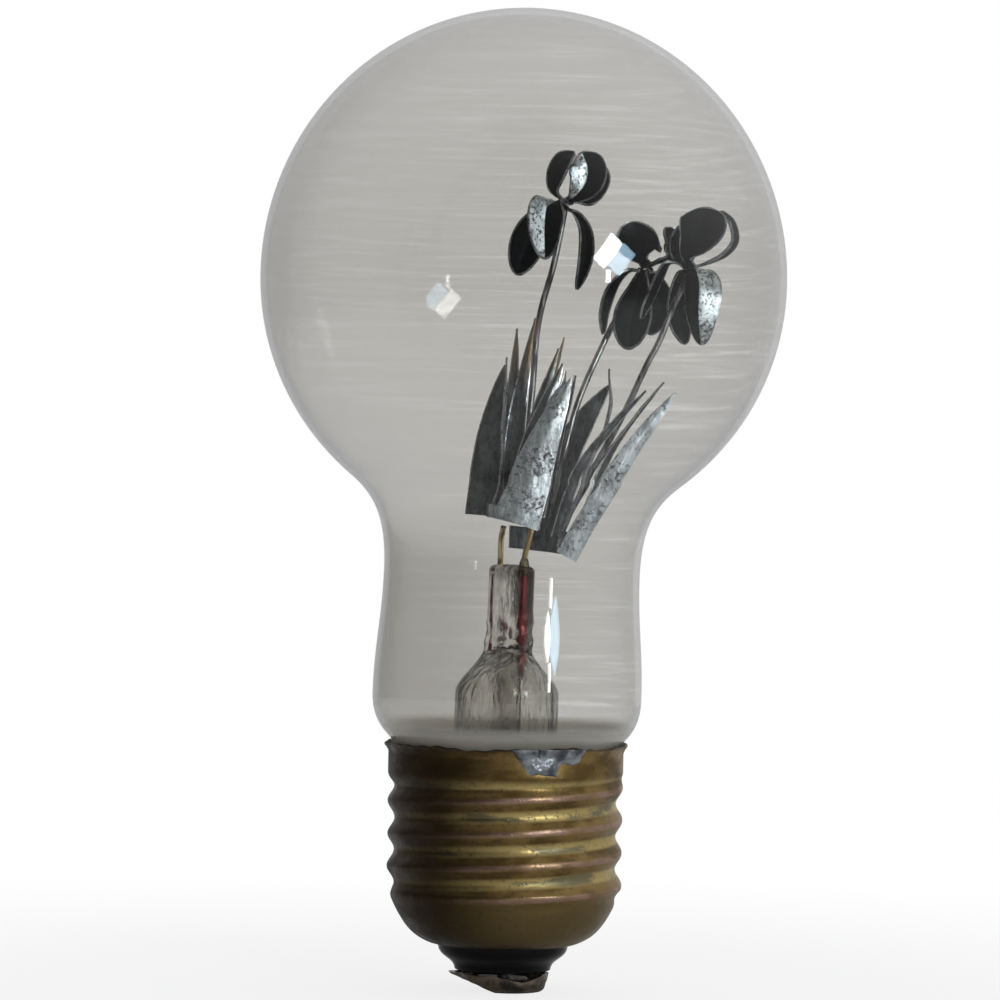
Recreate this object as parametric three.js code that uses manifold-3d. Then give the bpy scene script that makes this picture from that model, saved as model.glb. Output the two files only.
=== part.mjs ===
// Dead glow lamp of household bulb shape: clear glass globe on a brass screw cap, with two
// sheet metal electrodes inside that are cut and folded as iris leaves and iris flowers.
// Millimetres, +Z up. The origin is on the cap's axis, at the bottom of its centre contact.

import * as THREE from 'three';
import { mergeVertices } from 'three/addons/utils/BufferGeometryUtils.js';
import Module from 'manifold-3d';

const wasm = await Module();
wasm.setup();

// Driving dimensions of the cap, standard medium screw with seven turns to the inch
const threadDiameter = 26.1;
const threadPitch = 25.4 / 7;
const threadDepth = 0.76;
const threadFoot = 10.4;
const threadHead = 24.4;
const crestHeightAtRight = 19.1;
const shellWall = 0.28;
const shellHeight = 27.4;
const shellFloor = 5.2;
const shoulderTop = 11.4;
const rimFlare = 0.45;
const rimFlareLength = 1.0;
const rimRaggedness = 0.16;
const eyeletOpening = 15;

// Driving dimensions of the glass, heights counted from the rim of the cap
const globeDiameter = 58.4;
const globeCrown = 30;
const globeKeel = 28.7;
const equatorHeight = 51.5;
const globeFootDrop = 22.3;
const waistDiameter = 28.4;
const waistHeight = 19;
const skirtDiameter = 29.86;
const skirtHeight = 5.2;
const mouthDiameter = 25.2;
const sealDiameter = 20.8;
const sealDepth = 5.9;
const glassWall = 0.7;
const glassOffset = -0.12;
const glassLean = 1.37;

// Driving dimensions of the stem that carries the leads
const pressLength = 7.6;
const pressThickness = 3;
const pressAngle = -60;
const pressTop = 19.9;
const pressFoot = 10.8;
const flareTubeDiameter = 11.5;
const flareTubeTop = 5.4;
const flareWall = 0.8;
const exhaustDiameter = 3.6;
const exhaustBore = 1.8;
const exhaustTipDepth = 14.4;
const blowHoleDiameter = 1.1;

// Driving dimensions of wires and electrodes
const leadDiameter = 0.66;
const leadSpacing = 5.3;
const sealWireDiameter = 0.5;
const outerLeadDiameter = 0.4;
const flowerWireDiameter = 0.7;
const sheetThickness = 0.2;
const petalThickness = 0.26;

// Driving dimensions of the small pieces of the cap
const insulatorFoot = 2.3;
const insulatorFootDiameter = 10.8;
const insulatorNeckDiameter = 14.4;
const insulatorBore = 2.4;
const contactDiameter = 10.2;
const contactWall = 0.4;
const contactHeight = 2;
const contactFlatDiameter = 7;
const contactFlatShift = 0.8;
const contactSpur = 0.85;
const contactWearSlope = 0.3;
const contactDimple = 5.4;
const contactEyelet = 1.8;
const resistorDiameter = 4.8;
const resistorLength = 8.6;
const resistorFoot = 10.8;
const resistorReach = 5;
const resistorLeadDiameter = 0.6;
const solderAngle = -74.4;

// Clearance left between pieces that touch on the real lamp
const gap = 0.3;

const degrees = (value) => THREE.MathUtils.degToRad(value);
const point = (x, y, z) => new THREE.Vector3(x, y, z);
const flatPoint = (radius, height) => new THREE.Vector2(radius, height);
const smooth = (value, from, to) => THREE.MathUtils.smoothstep(value, from, to);

// Where the glass sits in the cap: on the rim, a little off centre and leaning to the right
const glassSeat = new THREE.Matrix4()
  .makeTranslation(glassOffset, 0, shellHeight)
  .multiply(new THREE.Matrix4().makeRotationY(degrees(glassLean)));

// A closed mesh with shared corners, no empty triangles and its faces pointing out
function closedMesh(geometry) {
  const bare = new THREE.BufferGeometry();
  bare.setAttribute('position', geometry.getAttribute('position').clone());
  if (geometry.index) bare.setIndex(geometry.index.clone());
  const merged = mergeVertices(bare, 1e-5);
  const places = merged.getAttribute('position');
  const corners = [places, places, places].map(() => new THREE.Vector3());
  const kept = [];
  let volume = 0;
  for (let start = 0; start < merged.index.count; start += 3) {
    const [a, b, c] = [0, 1, 2].map((step) => merged.index.getX(start + step));
    if (a === b || b === c || c === a) continue;
    kept.push(a, b, c);
    [a, b, c].forEach((name, slot) => corners[slot].fromBufferAttribute(places, name));
    volume += corners[0].dot(corners[1].clone().cross(corners[2]));
  }
  if (volume < 0) kept.reverse();
  merged.setIndex(kept);
  return merged;
}

function toSolid(geometry) {
  const mesh = closedMesh(geometry);
  const vertProperties = new Float32Array(mesh.getAttribute('position').array);
  const triVerts = new Uint32Array(mesh.index.array);
  return new wasm.Manifold(new wasm.Mesh({ numProp: 3, vertProperties, triVerts }));
}

function toGeometry(solid) {
  const mesh = solid.getMesh();
  const geometry = new THREE.BufferGeometry();
  geometry.setAttribute('position', new THREE.BufferAttribute(mesh.vertProperties, 3));
  geometry.setIndex(new THREE.BufferAttribute(mesh.triVerts, 1));
  return geometry;
}

function joined(...geometries) {
  return toGeometry(geometries.map(toSolid).reduce((whole, piece) => whole.add(piece)));
}

function cut(geometry, ...tools) {
  return toGeometry(tools.map(toSolid).reduce((whole, tool) => whole.subtract(tool), toSolid(geometry)));
}

// A body turned about Z from a profile of radius and height
function turned(profile, segments) {
  const geometry = new THREE.LatheGeometry(profile, segments);
  geometry.rotateX(Math.PI / 2);
  return closedMesh(geometry);
}

// The line that lies a wall's thickness inside a profile that runs upward on the outside
function insetLine(profile, wall) {
  return profile.map((place, index) => {
    const before = profile[Math.max(index - 1, 0)];
    const after = profile[Math.min(index + 1, profile.length - 1)];
    const along = after.clone().sub(before).normalize();
    return flatPoint(Math.max(place.x - along.y * wall, 0), place.y + along.x * wall);
  });
}

// A round wire swept along a smooth line through its bends
function wire(bends, diameter, steps, sides = 7) {
  const section = new THREE.Shape();
  for (let side = 0; side < sides; side++) {
    const turn = (2 * Math.PI * side) / sides;
    const corner = [Math.cos(turn), Math.sin(turn)].map((share) => (share * diameter) / 2);
    if (side === 0) section.moveTo(...corner);
    else section.lineTo(...corner);
  }
  const extrudePath = new THREE.CatmullRomCurve3(bends);
  return closedMesh(new THREE.ExtrudeGeometry(section, { steps, extrudePath }));
}

// A thin closed sheet from a grid of points on its middle face
function sheetFromGrid(grid, thickness) {
  const rows = grid.length;
  const cols = grid[0].length;
  const faces = [[], []];
  grid.forEach((line, row) => line.forEach((place, col) => {
    const before = grid[Math.max(row - 1, 0)][col];
    const after = grid[Math.min(row + 1, rows - 1)][col];
    const left = line[Math.max(col - 1, 0)];
    const right = line[Math.min(col + 1, cols - 1)];
    const normal = after.clone().sub(before).cross(right.clone().sub(left)).normalize();
    faces[0].push(place.clone().addScaledVector(normal, thickness / 2));
    faces[1].push(place.clone().addScaledVector(normal, -thickness / 2));
  }));
  const name = (side, row, col) => side * rows * cols + row * cols + col;
  const index = [];
  const quad = (a, b, c, d) => index.push(a, b, c, a, c, d);
  for (let row = 0; row < rows - 1; row++) {
    for (let col = 0; col < cols - 1; col++) {
      quad(name(0, row, col), name(0, row + 1, col), name(0, row + 1, col + 1), name(0, row, col + 1));
      quad(name(1, row, col), name(1, row, col + 1), name(1, row + 1, col + 1), name(1, row + 1, col));
    }
    quad(name(0, row, 0), name(1, row, 0), name(1, row + 1, 0), name(0, row + 1, 0));
    const last = cols - 1;
    quad(name(0, row, last), name(0, row + 1, last), name(1, row + 1, last), name(1, row, last));
  }
  for (let col = 0; col < cols - 1; col++) {
    const end = rows - 1;
    quad(name(0, 0, col), name(0, 0, col + 1), name(1, 0, col + 1), name(1, 0, col));
    quad(name(0, end, col), name(1, end, col), name(1, end, col + 1), name(0, end, col + 1));
  }
  const geometry = new THREE.BufferGeometry().setFromPoints([...faces[0], ...faces[1]]);
  geometry.setIndex(index);
  return closedMesh(geometry);
}

// A leaf or petal cut from sheet: its width follows an outline along a bent centre line,
// and a crease down the middle stiffens it. The rows crowd towards the rounded tip.
function blade({ spine, across, width, outline, crease = 0.2, thickness = sheetThickness, rows = 5 }) {
  const line = new THREE.CatmullRomCurve3(spine);
  const tipWidth = 0.24;
  const grid = [];
  for (let row = 0; row <= rows; row++) {
    const along = Math.sin((Math.PI * row) / (2 * rows));
    const centre = line.getPoint(along);
    const tangent = line.getTangent(along);
    const side = across.clone().addScaledVector(tangent, -across.dot(tangent)).normalize();
    const face = side.clone().cross(tangent);
    const half = Math.max(width * outline(along), tipWidth) / 2;
    grid.push([-1, 0, 1].map((share) => centre.clone()
      .addScaledVector(side, share * half)
      .addScaledVector(face, crease * half * (1 - Math.abs(share)))));
  }
  return sheetFromGrid(grid, thickness);
}

// The fuller a sword leaf is, the longer it keeps its width. A petal grows from a narrow claw,
// and the larger its lag is, the nearer to its blunt tip it is widest.
const swordOutline = (fullness) => (along) => (1 - along ** fullness) ** 0.7;
const clawShare = 0.3;
const petalOutline = (lag) => (along) => {
  return Math.max(clawShare * (1 - along), Math.sin(Math.PI * along ** lag) ** 0.5);
};

// A strip of sheet that stands on edge and is bent in plan, as the foot of a leaf cluster
function footStrip({ plan, foot, height, drop = 0 }) {
  const line = new THREE.CatmullRomCurve3(plan.map(([x, y]) => point(x, y, 0)));
  const cells = 8;
  const grid = [0, height].map((rise) => {
    const row = [];
    for (let cell = 0; cell <= cells; cell++) {
      const place = line.getPoint(cell / cells);
      row.push(point(place.x, place.y, foot + rise - drop * place.x));
    }
    return row;
  });
  return sheetFromGrid(grid, sheetThickness);
}

// One stamping of leaves: every leaf grows from the same bent foot strip
function leafStamping(foot, leaves) {
  const blades = leaves.map(({ fullness = 1.3, ...leaf }) => {
    return blade({ outline: swordOutline(fullness), ...leaf });
  });
  return joined(footStrip(foot), ...blades);
}

// Glass globe with its neck: two half ellipses, a hollow sweep to the waist and a swelling
// skirt that draws in where it goes into the cap
const globeRadius = globeDiameter / 2;
const waistRadius = waistDiameter / 2;
const skirtRadius = skirtDiameter / 2;

function envelopeOutline() {
  const footShare = Math.sqrt(1 - (globeFootDrop / globeKeel) ** 2);
  const foot = flatPoint(globeRadius * footShare, equatorHeight - globeFootDrop);
  const footSlope = flatPoint((globeRadius * globeFootDrop) / (globeKeel ** 2 * footShare), 1).normalize();
  const sweepLength = foot.y - waistHeight;
  const sweep = new THREE.CubicBezierCurve(
    flatPoint(waistRadius, waistHeight),
    flatPoint(waistRadius, waistHeight + 0.59 * sweepLength),
    foot.clone().addScaledVector(footSlope, -0.31 * sweepLength),
    foot,
  );
  const skirt = new THREE.CubicBezierCurve(
    flatPoint(skirtRadius, skirtHeight),
    flatPoint(skirtRadius, skirtHeight + 0.4 * (waistHeight - skirtHeight)),
    flatPoint(waistRadius, waistHeight - 0.4 * (waistHeight - skirtHeight)),
    flatPoint(waistRadius, waistHeight),
  );
  const collar = new THREE.CubicBezierCurve(
    flatPoint(mouthDiameter / 2, 0),
    flatPoint(mouthDiameter / 2 + 0.35, 0.6),
    flatPoint(skirtRadius, skirtHeight - 3.4),
    flatPoint(skirtRadius, skirtHeight),
  );
  const tail = new THREE.CubicBezierCurve(
    flatPoint(sealDiameter / 2, -sealDepth),
    flatPoint(sealDiameter / 2, -0.7 * sealDepth),
    flatPoint(mouthDiameter / 2 - 1.1, -1.7),
    flatPoint(mouthDiameter / 2, 0),
  );
  const globe = [];
  const lowTurn = Math.asin(globeFootDrop / globeKeel);
  const stepCount = 11;
  for (let step = 1; step <= stepCount; step++) {
    const turn = -lowTurn + ((Math.PI / 2 + lowTurn) * step) / stepCount;
    const rise = turn < 0 ? globeKeel : globeCrown;
    globe.push(flatPoint(globeRadius * Math.cos(turn), equatorHeight + rise * Math.sin(turn)));
  }
  globe[stepCount - 1].x = 0;
  return [
    ...tail.getPoints(3).slice(0, -1),
    ...collar.getPoints(4).slice(0, -1),
    ...skirt.getPoints(2).slice(0, -1),
    ...sweep.getPoints(4),
    ...globe,
  ];
}

function glassEnvelope() {
  const outside = envelopeOutline();
  const inside = insetLine(outside, glassWall);
  inside[inside.length - 1].x = 0;
  return turned([...inside.reverse(), ...outside], 28);
}

// Stem: a flat press at the top that melts into a round tube, which flares out inside the
// neck; an exhaust tube hangs from the press and opens through a blow hole in its side
const pressTurn = degrees(pressAngle);
const pressLine = point(Math.cos(pressTurn), Math.sin(pressTurn), 0);
const pressFace = point(Math.sin(pressTurn), -Math.cos(pressTurn), 0);
const leadPlace = (side, height) => pressLine.clone().multiplyScalar((side * leadSpacing) / 2).setZ(height);
const flareFoot = -sealDepth;
const flareRadius = sealDiameter / 2 - glassWall - gap;

function stemSection(height, inset) {
  const melt = smooth(height, flareTubeTop, pressFoot);
  const flare = Math.max(-height / sealDepth, 0) ** 2;
  const tubeRadius = THREE.MathUtils.lerp(flareTubeDiameter / 2, flareRadius, flare);
  const long = THREE.MathUtils.lerp(tubeRadius, pressLength / 2, melt) - inset;
  const short = THREE.MathUtils.lerp(tubeRadius, pressThickness / 2, melt) - inset;
  const squareness = THREE.MathUtils.lerp(1, 0.7, melt);
  return { long: Math.max(long, 0.2), short: Math.max(short, 0.2), squareness };
}

function stemBody(heights, inset) {
  const sides = 20;
  const places = [];
  const round = (share, power) => Math.sign(share) * Math.abs(share) ** power;
  heights.forEach((height) => {
    const { long, short, squareness } = stemSection(height, inset);
    for (let side = 0; side < sides; side++) {
      const turn = (2 * Math.PI * side) / sides;
      places.push(point(0, 0, height)
        .addScaledVector(pressLine, long * round(Math.cos(turn), squareness))
        .addScaledVector(pressFace, short * round(Math.sin(turn), squareness)));
    }
  });
  const index = [];
  for (let row = 0; row < heights.length - 1; row++) {
    for (let side = 0; side < sides; side++) {
      const next = (side + 1) % sides;
      const [a, b] = [row * sides + side, row * sides + next];
      index.push(a, b, b + sides, a, b + sides, a + sides);
    }
  }
  const lastRow = (heights.length - 1) * sides;
  for (let side = 1; side < sides - 1; side++) {
    index.push(0, side + 1, side, lastRow, lastRow + side, lastRow + side + 1);
  }
  const geometry = new THREE.BufferGeometry().setFromPoints(places);
  geometry.setIndex(index);
  return closedMesh(geometry);
}

function glassStem() {
  const shoulderSteps = [0, 0.3, 0.5, 0.7, 1];
  const shoulder = shoulderSteps.map((share) => THREE.MathUtils.lerp(flareTubeTop, pressFoot, share));
  const flare = [1, 0.75, 0.45, 0].map((share) => -share * sealDepth);
  const outside = stemBody([...flare, ...shoulder, pressTop - 0.5, pressTop], 0);
  const hollow = stemBody([flareFoot - gap, ...flare, ...shoulder.slice(0, -1), pressFoot - 0.6], flareWall);
  const exhaustRadius = exhaustDiameter / 2;
  const tube = turned([
    flatPoint(0, -exhaustTipDepth),
    flatPoint(0.6 * exhaustRadius, 0.3 - exhaustTipDepth),
    flatPoint(exhaustRadius, 2 - exhaustTipDepth),
    flatPoint(exhaustRadius, pressFoot),
    flatPoint(0, pressFoot),
  ], 14);
  const bore = turned([
    flatPoint(0, 1.6 - exhaustTipDepth),
    flatPoint(exhaustBore / 2, 2.6 - exhaustTipDepth),
    flatPoint(exhaustBore / 2, pressFoot + 0.5),
    flatPoint(0, pressFoot + 0.9),
  ], 10);
  const blowHole = new THREE.CylinderGeometry(blowHoleDiameter / 2, blowHoleDiameter / 2, pressThickness, 10);
  blowHole.translate(0, pressThickness / 2, 0);
  blowHole.applyQuaternion(new THREE.Quaternion().setFromUnitVectors(point(0, 1, 0), pressFace));
  blowHole.translate(0, 0, pressFoot + 0.3);
  const channels = [-1, 1].map((side) => {
    const ends = [leadPlace(side, pressTop + 1), leadPlace(side, flareTubeTop + 1)];
    return wire(ends, leadDiameter + 2 * gap, 1, 8);
  });
  return cut(joined(cut(outside, hollow), tube), bore, blowHole, ...channels);
}

// Leads: nickel inside the globe, red copper-clad wire in the press, copper below it
const weldDistance = gap + (leadDiameter + sheetThickness) / 2;
const leftPanelDepth = -3.4;
const rightBandEnd = [-0.4, 0.7];
const pressSeatDepth = 0.9;
const sealWireFoot = 7.6;

const frontLead = [
  leadPlace(1, pressTop - pressSeatDepth),
  leadPlace(1, pressTop + 0.8),
  point(1.75, -2.55, 22.8),
  point(2.2, leftPanelDepth + weldDistance, 24.8),
  point(2.5, leftPanelDepth + weldDistance, 26.6),
];
const backLead = [
  leadPlace(-1, pressTop - pressSeatDepth),
  leadPlace(-1, pressTop + 0.8),
  point(-1.35, 1.9, 22.4),
  point(rightBandEnd[0] - weldDistance, rightBandEnd[1], 24.1),
];
const sealWire = (side) => [
  leadPlace(side, pressTop - pressSeatDepth - gap),
  leadPlace(side, sealWireFoot),
];

const solderTurn = degrees(solderAngle);
const solderSide = point(Math.cos(solderTurn), Math.sin(solderTurn), 0);
const onSolderLine = (radius, height) => solderSide.clone().multiplyScalar(radius).setZ(height);
const shellRadius = threadDiameter / 2;
const rootRadius = shellRadius - threadDepth;
const notchWidth = outerLeadDiameter + 2 * gap;
const notchFoot = -2.2;

const shellLead = [
  leadPlace(1, sealWireFoot - gap),
  point(1.5, -3.2, 3),
  onSolderLine(5, -4),
  onSolderLine(8.6, -7.2),
  onSolderLine(rootRadius - shellWall - 0.75, -7.3),
  onSolderLine(rootRadius - shellWall - 0.5, -5),
  onSolderLine(shellRadius - shellWall - 0.75, -2.6),
  onSolderLine(shellRadius - 0.3, -1.5),
];
const resistorTop = resistorFoot + resistorLength;
const resistorLead = [
  leadPlace(-1, sealWireFoot - gap),
  point(-0.9, 3.3, 3),
  point(1.5, 3.7, -3),
  point(resistorReach, 0.4, resistorTop + 2.4 - shellHeight),
];

// Screw shell: a turned blank with a drawn shoulder, into which the thread is rolled, so
// that the inside shows the same waves; the rim is flared and a little ragged
function shellOutline() {
  const shoulder = new THREE.CubicBezierCurve(
    flatPoint(eyeletOpening / 2, shellFloor),
    flatPoint(eyeletOpening / 2 + 3.1, shellFloor + 0.4),
    flatPoint(shellRadius - 1.15, shoulderTop - 2.8),
    flatPoint(shellRadius, shoulderTop),
  );
  const wall = [];
  const wallFoot = shoulderTop;
  const wallHead = shellHeight - rimFlareLength;
  const wallSteps = Math.ceil((wallHead - wallFoot) / (threadPitch / 5));
  for (let step = 1; step <= wallSteps; step++) {
    wall.push(flatPoint(shellRadius, THREE.MathUtils.lerp(wallFoot, wallHead, step / wallSteps)));
  }
  const flare = flatPoint(shellRadius + rimFlare, shellHeight);
  return [...shoulder.getPoints(5), ...wall, flare];
}

function rollThread(geometry) {
  const places = geometry.getAttribute('position');
  const place = new THREE.Vector3();
  for (let corner = 0; corner < places.count; corner++) {
    place.fromBufferAttribute(places, corner);
    const turn = Math.atan2(place.y, place.x);
    const wave = Math.cos((2 * Math.PI * (place.z - crestHeightAtRight)) / threadPitch - turn);
    const runOut = 1 - smooth(place.z, threadHead - 2, threadHead);
    const entry = smooth(place.z, threadFoot - 1, threadFoot + 1) * runOut;
    const shrink = (entry * threadDepth * (wave - 1)) / 2;
    const rag = Math.max((place.z - shellHeight + rimFlareLength) / rimFlareLength, 0) * rimRaggedness;
    const radius = Math.hypot(place.x, place.y);
    place.x *= 1 + shrink / radius;
    place.y *= 1 + shrink / radius;
    place.z += rag * (Math.sin(5 * turn + 1) + 0.7 * Math.sin(11 * turn) - 1);
    places.setXYZ(corner, place.x, place.y, place.z);
  }
  return geometry;
}

function screwShell() {
  const outside = shellOutline();
  const inside = insetLine(outside, shellWall);
  const blank = turned([...outside, ...inside.reverse(), outside[0]], 28);
  const notch = new THREE.BoxGeometry(2, notchWidth, shellHeight);
  notch.translate(shellRadius, 0, shellHeight + notchFoot + shellHeight / 2);
  notch.rotateZ(solderTurn);
  return cut(rollThread(blank), notch);
}

// Cement ring that glues the neck into the shell, open where the lead climbs through it
function basingCement() {
  const inShell = rootRadius - shellWall - gap;
  const inWall = shellRadius - shellWall - gap;
  const sealClear = sealDiameter / 2 + gap + 0.2;
  const ring = turned([
    flatPoint(sealClear, shellHeight - sealDepth - 0.8),
    flatPoint(inShell, shellHeight - sealDepth - 0.8),
    flatPoint(inShell, threadHead),
    flatPoint(inWall, threadHead + 0.5),
    flatPoint(inWall, shellHeight - 1.7),
    flatPoint(mouthDiameter / 2 - 0.45, shellHeight - 1.7),
    flatPoint(sealClear + 0.75, threadHead - 0.3),
    flatPoint(sealClear + 0.1, threadHead - 1.6),
    flatPoint(sealClear, shellHeight - sealDepth - 0.8),
  ], 24);
  const groove = wire(shellLead, notchWidth, 22, 5).applyMatrix4(glassSeat);
  return cut(ring, groove);
}

// Black glass insulator: a waisted foot under the shell, and a funnel that fills its shoulder
function insulator() {
  const shoulder = new THREE.CubicBezierCurve(...[
    [eyeletOpening / 2, shellFloor],
    [eyeletOpening / 2 + 3.1, shellFloor + 0.4],
    [shellRadius - 1.15, shoulderTop - 2.8],
    [shellRadius, shoulderTop],
  ].map((place) => flatPoint(...place)));
  const seat = insetLine(shoulder.getPoints(7), shellWall + gap).slice(1, 5);
  const neck = insulatorNeckDiameter / 2;
  const foot = insulatorFootDiameter / 2;
  const rise = shellFloor - insulatorFoot;
  const bore = insulatorBore / 2;
  const top = seat[seat.length - 1];
  return turned([
    flatPoint(bore, insulatorFoot),
    flatPoint(foot - 0.3, insulatorFoot),
    flatPoint(foot, insulatorFoot + 0.15 * rise),
    flatPoint(THREE.MathUtils.lerp(foot, neck, 0.3), insulatorFoot + 0.4 * rise),
    flatPoint(THREE.MathUtils.lerp(foot, neck, 0.65), insulatorFoot + 0.65 * rise),
    flatPoint(neck, insulatorFoot + 0.88 * rise),
    flatPoint(neck, shellFloor + shellWall + gap),
    ...seat,
    flatPoint(top.x - 0.7, top.y + 0.7),
    flatPoint(bore + 1.2, shellFloor + 1.5),
    flatPoint(bore, shellFloor + 1.1),
    flatPoint(bore, insulatorFoot),
  ], 20);
}

// Centre contact: a pressed dish with a soldered dimple. Its edge is torn to a spur on the
// left and beaten down at the front, and its left half is worn and bent up, so that the lamp
// stands on the flat right half.
function bumpAt(turn, centre, width) {
  const apart = Math.abs(THREE.MathUtils.euclideanModulo(turn - centre + Math.PI, 2 * Math.PI) - Math.PI);
  return Math.max(1 - apart / width, 0);
}

function bendUp(geometry) {
  const places = geometry.getAttribute('position');
  for (let corner = 0; corner < places.count; corner++) {
    const height = places.getZ(corner);
    const lift = contactWearSlope * Math.max(-places.getX(corner) - contactFlatShift, 0);
    places.setZ(corner, height + lift * Math.max(1 - height / contactHeight, 0));
  }
  return geometry;
}

function centreContact() {
  const rim = contactDiameter / 2;
  const flat = contactFlatDiameter / 2;
  const dimple = contactDimple / 2;
  const eyelet = contactEyelet / 2;
  const dish = turned([
    flatPoint(eyelet, 1),
    flatPoint(dimple - 0.2, 1),
    flatPoint(dimple, 0),
    flatPoint(flat, 0),
    flatPoint(THREE.MathUtils.lerp(flat, rim, 0.6), 0.45),
    flatPoint(rim - 0.15, 1.2),
    flatPoint(rim, contactHeight),
    flatPoint(rim - contactWall, contactHeight),
    flatPoint(rim - contactWall - 0.15, 1.35),
    flatPoint(THREE.MathUtils.lerp(flat, rim, 0.5), 0.45 + contactWall),
    flatPoint(flat - 0.1, contactWall),
    flatPoint(dimple + contactWall, contactWall),
    flatPoint(dimple + 0.1, 1 + contactWall),
    flatPoint(eyelet, 1 + contactWall),
    flatPoint(eyelet, 1),
  ], 20);
  const places = dish.getAttribute('position');
  for (let corner = 0; corner < places.count; corner++) {
    const [x, y, z] = [places.getX(corner), places.getY(corner), places.getZ(corner)];
    const radius = Math.hypot(x, y);
    const turn = Math.atan2(y, x);
    const loose = smooth(radius, flat + 0.3, rim);
    const shift = contactFlatShift * smooth(radius, dimple, flat) * (1 - smooth(radius, flat, rim));
    const reach = 1 + (loose * contactSpur * bumpAt(turn, Math.PI, 0.4)) / radius;
    const beaten = 1 - 0.35 * loose * bumpAt(turn, -1.1, 0.6);
    places.setXYZ(corner, x * reach + shift, y * reach, z * beaten);
  }
  return bendUp(dish);
}

function contactSolder() {
  const plug = contactDimple / 2 - gap;
  const shank = contactEyelet / 2 - gap;
  return bendUp(turned([
    flatPoint(0, 0),
    flatPoint(contactFlatShift, 0),
    flatPoint(plug - 0.1, 0),
    flatPoint(plug - 0.15, 1 - gap),
    flatPoint(shank, 1 - gap),
    flatPoint(shank, insulatorFoot - 0.2),
    flatPoint(0, insulatorFoot),
  ], 20));
}

// Solder that fixes the shell lead outside the rim: a run-down lump with an arm to the right
function rimSolder() {
  const lump = (turn, height, size) => {
    const ball = new THREE.SphereGeometry(1, 10, 7);
    ball.scale(...size);
    ball.translate(shellRadius + 0.25, 0, height);
    return ball.rotateZ(degrees(turn));
  };
  const lumps = [
    lump(solderAngle, shellHeight - 1.7, [0.95, 1.5, 1.9]),
    lump(solderAngle - 4, shellHeight - 1.2, [0.9, 1.2, 1.3]),
    lump(solderAngle + 15, shellHeight - 1, [0.8, 2.6, 0.85]),
  ];
  const clearOfShell = turned([
    flatPoint(0, 0),
    flatPoint(shellRadius + gap, 0),
    flatPoint(shellRadius + gap, shellHeight - rimFlareLength),
    flatPoint(shellRadius + rimFlare + gap, shellHeight),
    flatPoint(shellRadius + rimFlare + gap, shellHeight + 5),
    flatPoint(0, shellHeight + 5),
  ], 40);
  return cut(joined(...lumps), clearOfShell);
}

// Ballast resistor in the cap: a moulded body with domed ends on two stiff leads
function ballastResistor() {
  const radius = resistorDiameter / 2;
  const body = turned([
    flatPoint(0, resistorFoot),
    flatPoint(radius - 0.5, resistorFoot),
    flatPoint(radius, resistorFoot + 0.6),
    flatPoint(radius, resistorTop - 0.6),
    flatPoint(radius - 0.5, resistorTop),
    flatPoint(0, resistorTop),
  ], 18).translate(resistorReach, 0, 0);
  const topLead = wire([
    point(resistorReach, 0, resistorTop - 1),
    point(resistorReach, 0, resistorTop + 1.6),
  ], resistorLeadDiameter, 2);
  const footLead = wire([
    point(resistorReach, 0, resistorFoot + 1),
    point(resistorReach, 0, resistorFoot - 0.8),
    point(0.55 * resistorReach, 0, resistorFoot - 2),
    point(0, 0, resistorFoot - 3.6),
    point(0, 0, insulatorFoot + gap),
  ], resistorLeadDiameter, 9, 6);
  return joined(body, topLead, footLead);
}

// Leaves of the left electrode: three folded stampings, nested one inside the other
const leftFoot = 24.6;
const facingFront = point(1, 0, 0);
const facingSide = point(0, 1, 0);

const leftOuterLeaves = leafStamping(
  {
    plan: [[2.9, leftPanelDepth], [0, leftPanelDepth - 0.1], [-2.4, leftPanelDepth + 0.1], [-2.9, -1.8],
      [-2.95, 1], [-2.8, 3.1], [-0.8, 3.6]],
    foot: leftFoot,
    height: 1.6,
    drop: 0.23,
  },
  [
    { spine: [point(0, -3.4, 24.6), point(2.6, -3.1, 33), point(5.65, -2, 40.7)],
      across: facingFront, width: 5.7, fullness: 1.35 },
    { spine: [point(-2.85, 0.3, 25.3), point(-1.75, 0, 30), point(-1.75, 0, 36), point(-1.5, 0, 42.8)],
      across: facingSide, width: 3.6, crease: 0.1 },
    { spine: [point(-3.2, 3.5, 25.4), point(-2.8, 3.3, 34), point(-1.7, 2.9, 42)],
      across: facingFront, width: 4.9, fullness: 3 },
  ],
);

const leftMiddleLeaves = leafStamping(
  {
    plan: [[-1.5, -1.5], [-0.9, -2], [1.6, -2.1], [2.7, -1.5], [3, -0.2], [3.1, 1.2]],
    foot: leftFoot + 0.7,
    height: 1.8,
    drop: 0.2,
  },
  [
    { spine: [point(0.4, -2.05, 25.6), point(1.9, -1.9, 34), point(4.7, -1, 42.3)],
      across: facingFront, width: 4.2 },
    { spine: [point(2.3, -1.6, 25.6), point(3.8, -1, 34), point(5, -0.2, 41.5)],
      across: point(1, 0.6, 0), width: 2.4, fullness: 2 },
    { spine: [point(3, 0.3, 25.6), point(4.4, 0.7, 34), point(6.2, 1, 41.1)],
      across: point(1, 0.8, 0), width: 2.2, fullness: 2 },
  ],
);

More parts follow.
